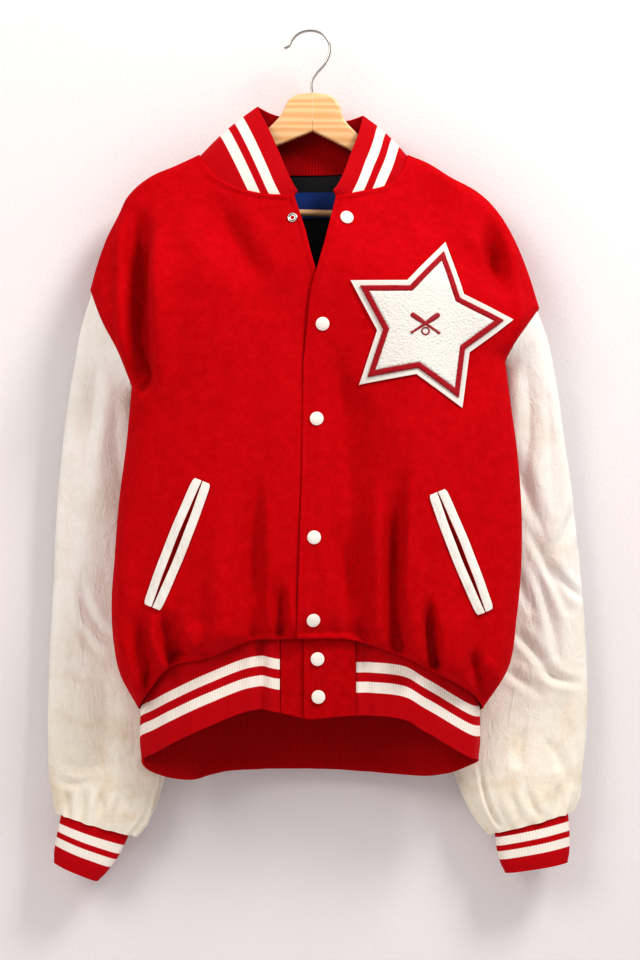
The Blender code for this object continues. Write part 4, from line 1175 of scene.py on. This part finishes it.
def leather_sleeve(side):
    share = 1 - (1 - np.linspace(0, 1, SLEEVE_ROWS + 1)) ** 1.15
    net = along_rings([armhole_ring(side)] + [oval(row) for row in SLEEVE[side]], share)
    normal = tube_normals(net)
    angle, down = AROUND[None, :], share[:, None]
    at_front = smoothstep(-0.25, 0.25, np.sin(angle))
    rows = SLEEVE_FOLDS[side]
    x, z = net[..., 0], net[..., 2]
    in_front, behind = (fold_relief(some, x, z, True) for some in (rows, rows[::-1] + BEHIND))
    folds = at_front * in_front + (1 - at_front) * behind
    # Two rows of pleats that don't keep step make the puckers uneven.
    pleats = 1.3 * np.sin(11 * angle + 1.2 * np.sin(3 * angle))
    pleats = pleats + 0.9 * np.sin(19 * angle + 1.8 * np.sin(2 * angle))
    gathers = smoothstep(0.90, 1.0, down) * np.maximum(pleats + 0.9, -0.2)
    swell = 1.2 * np.sin(3 * angle + 9 * down) * smoothstep(0.1, 0.4, down)
    held = smoothstep(0.0, 0.08, down) * (1 - 0.8 * smoothstep(0.95, 1.0, down))
    net = net + normal * (held * (CREASE_DEPTH * folds + swell) + gathers)[:, :, None]
    piece = lay_cloth(f"leather_sleeve_{side}", net, LEATHER_WALL, [LEATHER], from_middle(net), closed=True)
    return place(piece, f"sleeve_{side}")


SLEEVES = {side: leather_sleeve(side) for side in SIDES}

# %% Knit cuffs
CUFF_ROWS = 40
CUFF_RADIUS = 34  # mm, of the unstretched knit as a round tube, for the number of its ribs
STRIPES_LOWER = {"right": 6.5, "left": 1.5}  # mm by which a cuff's stripes lie below their usual place


def knit_cuff(side):
    share = np.linspace(0, 1, CUFF_ROWS)
    net = along_rings([oval(row) for row in CUFF[side]], share)
    normal = tube_normals(net)
    angle, down = AROUND[None, :], share[:, None]
    swell = 1.2 * np.sin(math.pi * down) - 1.5 * smoothstep(0.8, 1.0, down)
    swell = swell + 0.5 * np.sin(5 * angle + 2 * down)
    net = net + normal * swell[:, :, None]
    u = np.linspace(0, 2 * math.pi * CUFF_RADIUS, TUBE_SIDES + 1)[None, :] + 0 * down
    length = np.linalg.norm(net[-1].mean(axis=0) - net[0].mean(axis=0))
    v = down * length - STRIPES_LOWER[side] + 0 * u
    piece = lay_cloth(f"knit_cuff_{side}", net, RIB_WALL, [RIB_CUFF, RIB_PLAIN], from_middle(net),
                      uv=(u, v), closed=True)
    return place(piece, f"cuff_{side}")


CUFFS = {side: knit_cuff(side) for side in SIDES}

# %% [markdown]
# ## What lies on the fronts
# The pockets have two white leather welts each. The patch is a star of chenille on felt. Each is a
# small net in the plane of the front, laid on the panel's form and lifted by its own thickness.


# %% Laying pieces on a front
SLOPE_STEP = 2.0  # mm over which the panel's slope is measured


def on_front(side, flat, lift):
    """The flat net of x and z laid on a front panel, folds included, and moved out of it."""
    x, z = flat[..., 0], flat[..., 1]

    def depth(px, pz):
        return front_y(side, px, pz) - front_relief(side, px, pz)

    slope_x = (depth(x + SLOPE_STEP, z) - depth(x - SLOPE_STEP, z)) / (2 * SLOPE_STEP)
    slope_z = (depth(x, z + SLOPE_STEP) - depth(x, z - SLOPE_STEP)) / (2 * SLOPE_STEP)
    normal = np.stack([slope_x, -np.ones_like(x), slope_z], axis=2)
    normal /= np.linalg.norm(normal, axis=2)[:, :, None]
    lift = np.broadcast_to(lift, x.shape)
    return np.stack([x, depth(x, z), z], axis=2) + normal * lift[:, :, None]


# %% Pocket welts
WELT_WIDTH = 11.0
WELT_WALL = 1.8
WELT_LIFT = 2.4  # mm from the front to the welt's face
WELT_ROWS, WELT_COLUMNS = 71, 13
POCKET_SLIT = 4.4  # mm that the slit gapes in its middle


def leather_welts():
    for side, (top_x, top_z, low_x, low_z) in POCKET.items():
        along = np.array((low_x - top_x, low_z - top_z), float)
        length = np.linalg.norm(along)
        along /= length
        across = np.array((-along[1], along[0]))
        for name, sign in (("outer", -1), ("inner", 1)):
            sign *= 1 if side == "right" else -1
            share = np.linspace(0, 1, WELT_ROWS)[:, None]
            over = np.linspace(0, 1, WELT_COLUMNS)[None, :]
            near = 0.3 + POCKET_SLIT / 2 * np.sin(math.pi * share)
            far = near + WELT_WIDTH * (0.8 + 0.2 * quarter_round(16 * np.minimum(share, 1 - share)))
            out = sign * (near + over * (far - near))
            flat = np.array((top_x, top_z)) + (share * length)[..., None] * along + out[..., None] * across
            # Padded between the fold at the slit and the stitches along the outer edge.
            rounded = 1.1 * np.sin(math.pi * np.clip(over * 1.15, 0, 1)) + 0.35 * np.sin(share * 19)
            net = on_front(side, flat, WELT_LIFT + rounded * np.ones_like(share))
            piece = lay_cloth(f"leather_welt_{side}_{name}", net, WELT_WALL, [LEATHER_WELT], forwards,
                              rim=0.35)
            place(piece, f"welt_{side}_{name}")


leather_welts()

# %% Star patch
STAR_TILT = math.radians(-12.9)
STAR_REACH = 106.0  # mm from the centre to a point
STAR_WAIST = 0.56  # a notch's reach as a share of a point's
STAR_STEPS = 300  # round the star
FELT_MARGIN = 8.0
OUTLINE_WIDTH = 8.0
POINT_SPREAD = 1.6  # a margin square to the star's edge is this much longer along its points
CORE = 0.6  # mm, the reach of the innermost ring
OUTLINE_REACH = STAR_REACH - FELT_MARGIN * POINT_SPREAD
FILL_REACH = OUTLINE_REACH - OUTLINE_WIDTH * POINT_SPREAD
LAYERS = (  # name, node, outer and inner reach, rings, lift, wall, finish, slot
    ("patch_felt_star", "patch_felt", STAR_REACH, CORE, 40, 2.6, 1.5, FELT, "felt"),
    ("patch_chenille_outline", "patch_outline", OUTLINE_REACH, FILL_REACH, 10, 5.4, 3.0, CHENILLE_RED,
     "chenille_red"),
    ("patch_chenille_fill", "patch_fill", FILL_REACH, CORE, 36, 5.6, 3.0, CHENILLE_WHITE,
     "chenille_white"),
)


def star_net(outer, inner, rings):
    """Rings of x and z from the outer reach in to the inner one."""
    angle = np.linspace(0, 2 * math.pi, STAR_STEPS + 1)[None, :]
    step = math.pi / 5
    turned = (angle / step) % 2
    turned = np.where(turned <= 1, turned, 2 - turned)
    notch = STAR_WAIST * np.array((math.cos(step), math.sin(step))) - np.array((1.0, 0.0))
    reach = notch[1] / (np.cos(turned * step) * notch[1] - np.sin(turned * step) * notch[0])
    out = np.linspace(outer, inner, rings + 1)[:, None] * reach
    heading = math.pi / 2 + angle + STAR_TILT
    return np.stack([STAR_CENTRE[0] + out * np.cos(heading), STAR_CENTRE[1] + out * np.sin(heading)], axis=2)


def star_patch():
    for name, node, outer, inner, rings, lift, wall, finish, slot in LAYERS:
        flat = star_net(outer, inner, rings)
        share = np.linspace(0, 1, rings + 1)[:, None]
        loops = 0.0
        if "chenille" in name:
            # The pile rounds over at the edges of its rows, and its loops make it uneven.
            edge = 1 - np.abs(2 * share - 1) if "outline" in name else np.clip(share * 7, 0, 1)
            x, z = flat[..., 0], flat[..., 1]
            uneven = np.sin(x * 1.1 + 2 * np.sin(z * 0.37)) * np.sin(z * 1.2 + 2 * np.sin(x * 0.31))
            loops = -1.4 * (1 - quarter_round(edge * 1.6)) + 0.3 * uneven
        net = on_front("left", flat, lift + loops + 0 * share)
        piece = lay_cloth(name, net, wall, [finish], forwards, closed=True, rim=0.3)
        place(piece, node)


star_patch()

# %% [markdown]
# A small badge of two crossed bats and a ball is stitched over the chenille in red thread. Each
# line is a narrow raised strip, as satin stitch is, and its width follows the outline of a bat.

# %% Stitched badge
BADGE_CENTRE = (136, -366)
BAT_LENGTH = 40.0
BAT_TURNS = {"thread_bat_first": 35, "thread_bat_second": 145}  # degrees
BALL_DROP, BALL_RADIUS, BALL_LINE = 9, 4.2, 0.8  # mm; the line's is half its width
THREAD_LIFT, THREAD_WALL = 6.2, 0.8
BAT_HALF_WIDTH = [(0.0, 1.9), (0.06, 1.2), (0.4, 1.5), (0.75, 3.0), (0.95, 3.0), (1.0, 1.6)]  # share, mm
THREAD = plain_material("Red stitching thread", "#9C0A20", 0.6, sheen=0.3, pattern_mm=0.7, depth_mm=0.3)


def thread_strip(name, line, half_width):
    """A raised strip along a line of x and z on the patch."""
    heading = np.gradient(line, axis=0)
    heading /= np.linalg.norm(heading, axis=1)[:, None]
    across = np.stack([-heading[:, 1], heading[:, 0]], axis=1)
    over = np.linspace(-1, 1, 9)
    flat = line[:, None] + (over[None, :] * half_width[:, None])[..., None] * across[:, None]
    lift = THREAD_LIFT + 0.7 * np.sqrt(np.maximum(0, 1 - over[None, :] ** 2)) + 0 * flat[..., 0]
    piece = lay_cloth(name, on_front("left", flat, lift), THREAD_WALL, [THREAD], forwards, rim=0)
    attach(piece, "root")


def badge():
    share = np.linspace(0, 1, 40)
    for name, turn in BAT_TURNS.items():
        way = np.array((math.cos(math.radians(turn)), math.sin(math.radians(turn))))
        line = np.array(BADGE_CENTRE) + (share[:, None] - 0.5) * BAT_LENGTH * way
        thread_strip(name, line, np.interp(share, *zip(*BAT_HALF_WIDTH)))
    angle = np.linspace(0, 2 * math.pi, 41)
    middle = np.array(BADGE_CENTRE) + np.array((0, -BALL_DROP))
    ring = middle + BALL_RADIUS * np.stack([np.cos(angle), np.sin(angle)], axis=1)
    thread_strip("thread_ball", ring, np.full(len(angle), BALL_LINE))


badge()

# %% [markdown]
# ## Snaps
# Each cap is pressed brass with white enamel: a low dome with a rolled rim. A spun profile gives
# it. On the wearer's right the open ring of the socket shows its spring wire.


# %% Snaps
SPIN_STEPS = 40


def spun(name, profile, base, out, finish):
    """A turned piece: the profile's columns are radius and height along `out` from `base`, in mm."""
    bm = bmesh.new()
    points = [bm.verts.new((radius * MM, 0, height * MM)) for radius, height in profile]
    edges = [bm.edges.new(pair) for pair in zip(points, points[1:])]
    bmesh.ops.spin(bm, geom=points + edges, cent=(0, 0, 0), axis=(0, 0, 1), angle=2 * math.pi,
                   steps=SPIN_STEPS, use_merge=True)
    bmesh.ops.remove_doubles(bm, verts=bm.verts, dist=1e-7)
    bmesh.ops.recalc_face_normals(bm, faces=bm.faces)
    turn = Vector(out).to_track_quat("Z", "Y").to_matrix().to_4x4()
    bmesh.ops.transform(bm, matrix=turn, verts=bm.verts)
    bmesh.ops.translate(bm, vec=Vector(base) * MM, verts=bm.verts)
    return finished(name, bm, [finish])


# %% The snaps' places and profiles
CAPS = [(44, -236), (15, -365), (8, -478), (5, -619), (4, -717), (9, -764), (10, -809)]  # x, z
SOCKET = (-21, -237)
TAB_SWELL = 1.2  # mm that the left tab swells out under its snaps
CAP_PROFILE = [  # radius, height
    (0, 0), (7.4, 0), (8.1, 0.35), (8.3, 0.9), (8.2, 1.5), (7.7, 1.9), (7.0, 2.1), (5.9, 2.6),
    (4.2, 3.0), (2.2, 3.2), (0, 3.3),
]
SOCKET_PROFILE = [
    (2.4, 0.2), (3.2, 0.1), (3.9, 0.5), (4.4, 1.1), (5.0, 1.5), (5.6, 1.4), (6.1, 0.9), (6.2, 0.2),
]


def seat(side, x, z, lift):
    """Where a snap sits on a front and which way it faces."""
    spot = np.array([[[x, z], [x + 4, z]], [[x, z - 4], [x + 4, z - 4]]], float)
    laid = on_front(side, spot, lift)
    return laid[0, 0], outward_normals(laid, forwards)[0, 0]


def snap_row():
    tab_y = WAIST[0][1] + TUCK - FRONT_LIFT - TAB_SWELL
    for number, (x, z) in enumerate(CAPS, start=1):
        if z > FRONT_FOOT:
            base, normal = seat("left", x, z, 0.0)
        else:
            base, normal = np.array((x, tab_y, z)), np.array((0.0, -1.0, 0.0))
        piece = spun(f"enamel_cap_{number}", CAP_PROFILE, base, normal, ENAMEL)
        place(piece, f"snap_cap_{number}")
    base, normal = seat("right", *SOCKET, 0.2)
    place(spun("steel_socket", SOCKET_PROFILE, base, normal, STEEL), "snap_socket")


snap_row()

# %% [markdown]
# ## The hanger
# Two arms of beech meet at the middle, a round bar joins their ends and a steel wire hook screws
# into the top. The CAD arms are cut with few points, so they are drawn again with finer curves.

# %% Outlines of the hanger
ARM_UPPER = {  # x, z
    "right": [(3, -75), (-20, -79), (-29, -87), (-34, -99), (-49, -116), (-90, -144), (-125, -162),
              (-169, -171), (-193, -181), (-209, -192), (-212, -203)],
    "left": [(3, -75), (27, -80), (36, -91), (40, -104), (60, -127), (90, -151), (111, -164),
             (142, -171), (175, -185), (203, -201), (213, -212)],
}
ARM_LOWER = {
    "right": [(-208, -227), (-197, -228), (-197, -207), (-150, -185), (-100, -165), (-39, -140), (3, -123)],
    "left": [(210, -233), (199.5, -234), (199.5, -217), (150, -197), (100, -173), (53, -148), (3, -123)],
}
HOOK = [(2, -74.4), (2, -60), (7, -52), (18, -39), (24, -24), (22, -11), (13, -1.5), (0, 1.6), (-14, -2),
        (-23, -11), (-27, -18), (-32, -20)]


# %% Hanger arms
ARM_THICKNESS = 11.4
ARM_ROUNDING = 3.0
ARM_GAP = 0.15  # mm from each arm to the middle joint
JOINT_X = 3


def beech_arm(side):
    half = ARM_THICKNESS / 2
    gap = -ARM_GAP if side == "right" else ARM_GAP
    upper = spline(ARM_UPPER[side], np.linspace(0, 1, 60))
    lower = spline(ARM_LOWER[side][2:], np.linspace(0, 1, 40))
    points = np.concatenate([upper, np.array(ARM_LOWER[side][:2], float), lower])
    bm = bmesh.new()
    verts = [bm.verts.new(((x + (gap if x == JOINT_X else 0)) * MM, -half * MM, z * MM)) for x, z in points]
    made = bmesh.ops.extrude_face_region(bm, geom=[bm.faces.new(verts)])
    moved = [item for item in made["geom"] if isinstance(item, bmesh.types.BMVert)]
    bmesh.ops.translate(bm, verts=moved, vec=(0, 2 * half * MM, 0))
    bmesh.ops.recalc_face_normals(bm, faces=bm.faces)
    rims = [e for e in bm.edges if abs(e.verts[0].co.y - e.verts[1].co.y) < 1e-6
            and abs(e.verts[0].co.x - e.verts[1].co.x) > 1e-6]
    bmesh.ops.bevel(bm, geom=rims, offset=ARM_ROUNDING * MM, offset_type="OFFSET", segments=5, profile=0.5,
                    affect="EDGES", clamp_overlap=True, material=-1)
    bmesh.ops.recalc_face_normals(bm, faces=bm.faces)
    piece = finished(f"beech_arm_{side}", bm, [WOOD])
    piece.data.set_sharp_from_angle(angle=math.radians(35))
    place(piece, f"hanger_arm_{side}")


for side in SIDES:
    beech_arm(side)
print("hanger arms:", len(SIDES))

# %% Hanger bar and hook
BAR = [(-196.6, 0, -219.5), (199.1, 0, -226.0)]
BAR_DIAMETER, HOOK_DIAMETER = 9.0, 3.2


def round_rod(name, points, diameter, finish):
    """A round wire or rod along the points: a circle swept as a curve's bevel, then made a mesh."""
    data = bpy.data.curves.new(name, "CURVE")
    data.dimensions = "3D"
    data.bevel_depth = diameter / 2 * MM
    data.bevel_resolution = 6
    data.use_fill_caps = True
    line = data.splines.new("POLY")
    line.points.add(len(points) - 1)
    for target, point in zip(line.points, points):
        target.co = (*(Vector(point) * MM), 1.0)
    drawn = bpy.data.objects.new(name + "_line", data)
    bpy.context.scene.collection.objects.link(drawn)
    mesh = bpy.data.meshes.new_from_object(drawn.evaluated_get(bpy.context.evaluated_depsgraph_get()))
    bpy.data.objects.remove(drawn)
    mesh.materials.clear()
    return link(name, mesh, [finish])


place(round_rod("beech_bar", BAR, BAR_DIAMETER, WOOD), "hanger_bar")
hook_route = spline([(x, 0, z) for x, z in HOOK], np.linspace(0, 1, 120))
place(round_rod("steel_hook", hook_route, HOOK_DIAMETER, STEEL), "hanger_hook")
print("hook:", len(hook_route), "points")

# %% [markdown]
# ## Lining and label
# Only a stretch of the lining shows behind the neck, with a blank blue label. The CAD shells have
# the right shape and stay: they only get their finishes.

# %% Finishes for the CAD nodes that stay
for node, finish in {"lining_back": LINING, "neck_label": LABEL}.items():
    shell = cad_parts[node]
    shell.data.materials.clear()
    shell.data.materials.append(finish)
    print(node, "keeps its CAD shape")

# %% [markdown]
# ## The room
# A plain pale wall behind, a floor far below, a soft light high on the right and a weaker, wider
# fill from the left. The wall catches the jacket's soft shadow on its left, and an even glow from
# all round keeps the inside of the hem from going black.


# %% Wall and floor
WALL_Y, ROOM_SIDE, ROOM_FRONT, CEILING_Z, FLOOR_Z = 0.050, 4, -6, 2.0, -1.9  # metres


def board(name, corners):
    bm = bmesh.new()
    bm.faces.new([bm.verts.new(corner) for corner in corners])
    made = finished(name, bm, [PLASTER])


PLASTER = plain_material("Painted plaster", "#EDEBEE", 0.9, pattern_mm=5.0, depth_mm=0.5)
left, right = -ROOM_SIDE, ROOM_SIDE
board("wall", [(left, WALL_Y, FLOOR_Z), (right, WALL_Y, FLOOR_Z), (right, WALL_Y, CEILING_Z),
               (left, WALL_Y, CEILING_Z)])
board("floor", [(left, ROOM_FRONT, FLOOR_Z), (right, ROOM_FRONT, FLOOR_Z), (right, WALL_Y, FLOOR_Z),
                (left, WALL_Y, FLOOR_Z)])
print("floor at", FLOOR_Z)


# %% Lights
def soft_light(name, place_at, aim, size, power, code):
    data = bpy.data.lights.new(name, "AREA")
    data.shape = "RECTANGLE"
    data.size, data.size_y = size
    data.energy = power
    data.color = linear(code)[:3]
    made = bpy.data.objects.new(name, data)
    made.location = place_at
    made.rotation_euler = (Vector(aim) - Vector(place_at)).to_track_quat("-Z", "Y").to_euler()
    bpy.context.scene.collection.objects.link(made)


# name, place, what it points at, size in metres, watts, colour
soft_light("key", (1.45, -1.35, 1.5), (0.0, 0.0, -0.5), (0.8, 0.8), 40, "#FFFBF6")
soft_light("fill", (-1.7, -2.1, 0.9), (-0.2, 0.0, -0.6), (1.4, 1.4), 22, "#FFF8F0")
world = bpy.data.worlds.new("room")
world.use_nodes = True
glow = world.node_tree.nodes["Background"]
glow.inputs["Color"].default_value = linear("#F8F4F0")
glow.inputs["Strength"].default_value = 0.37
bpy.context.scene.world = world
print("lights:", len(bpy.data.lights))
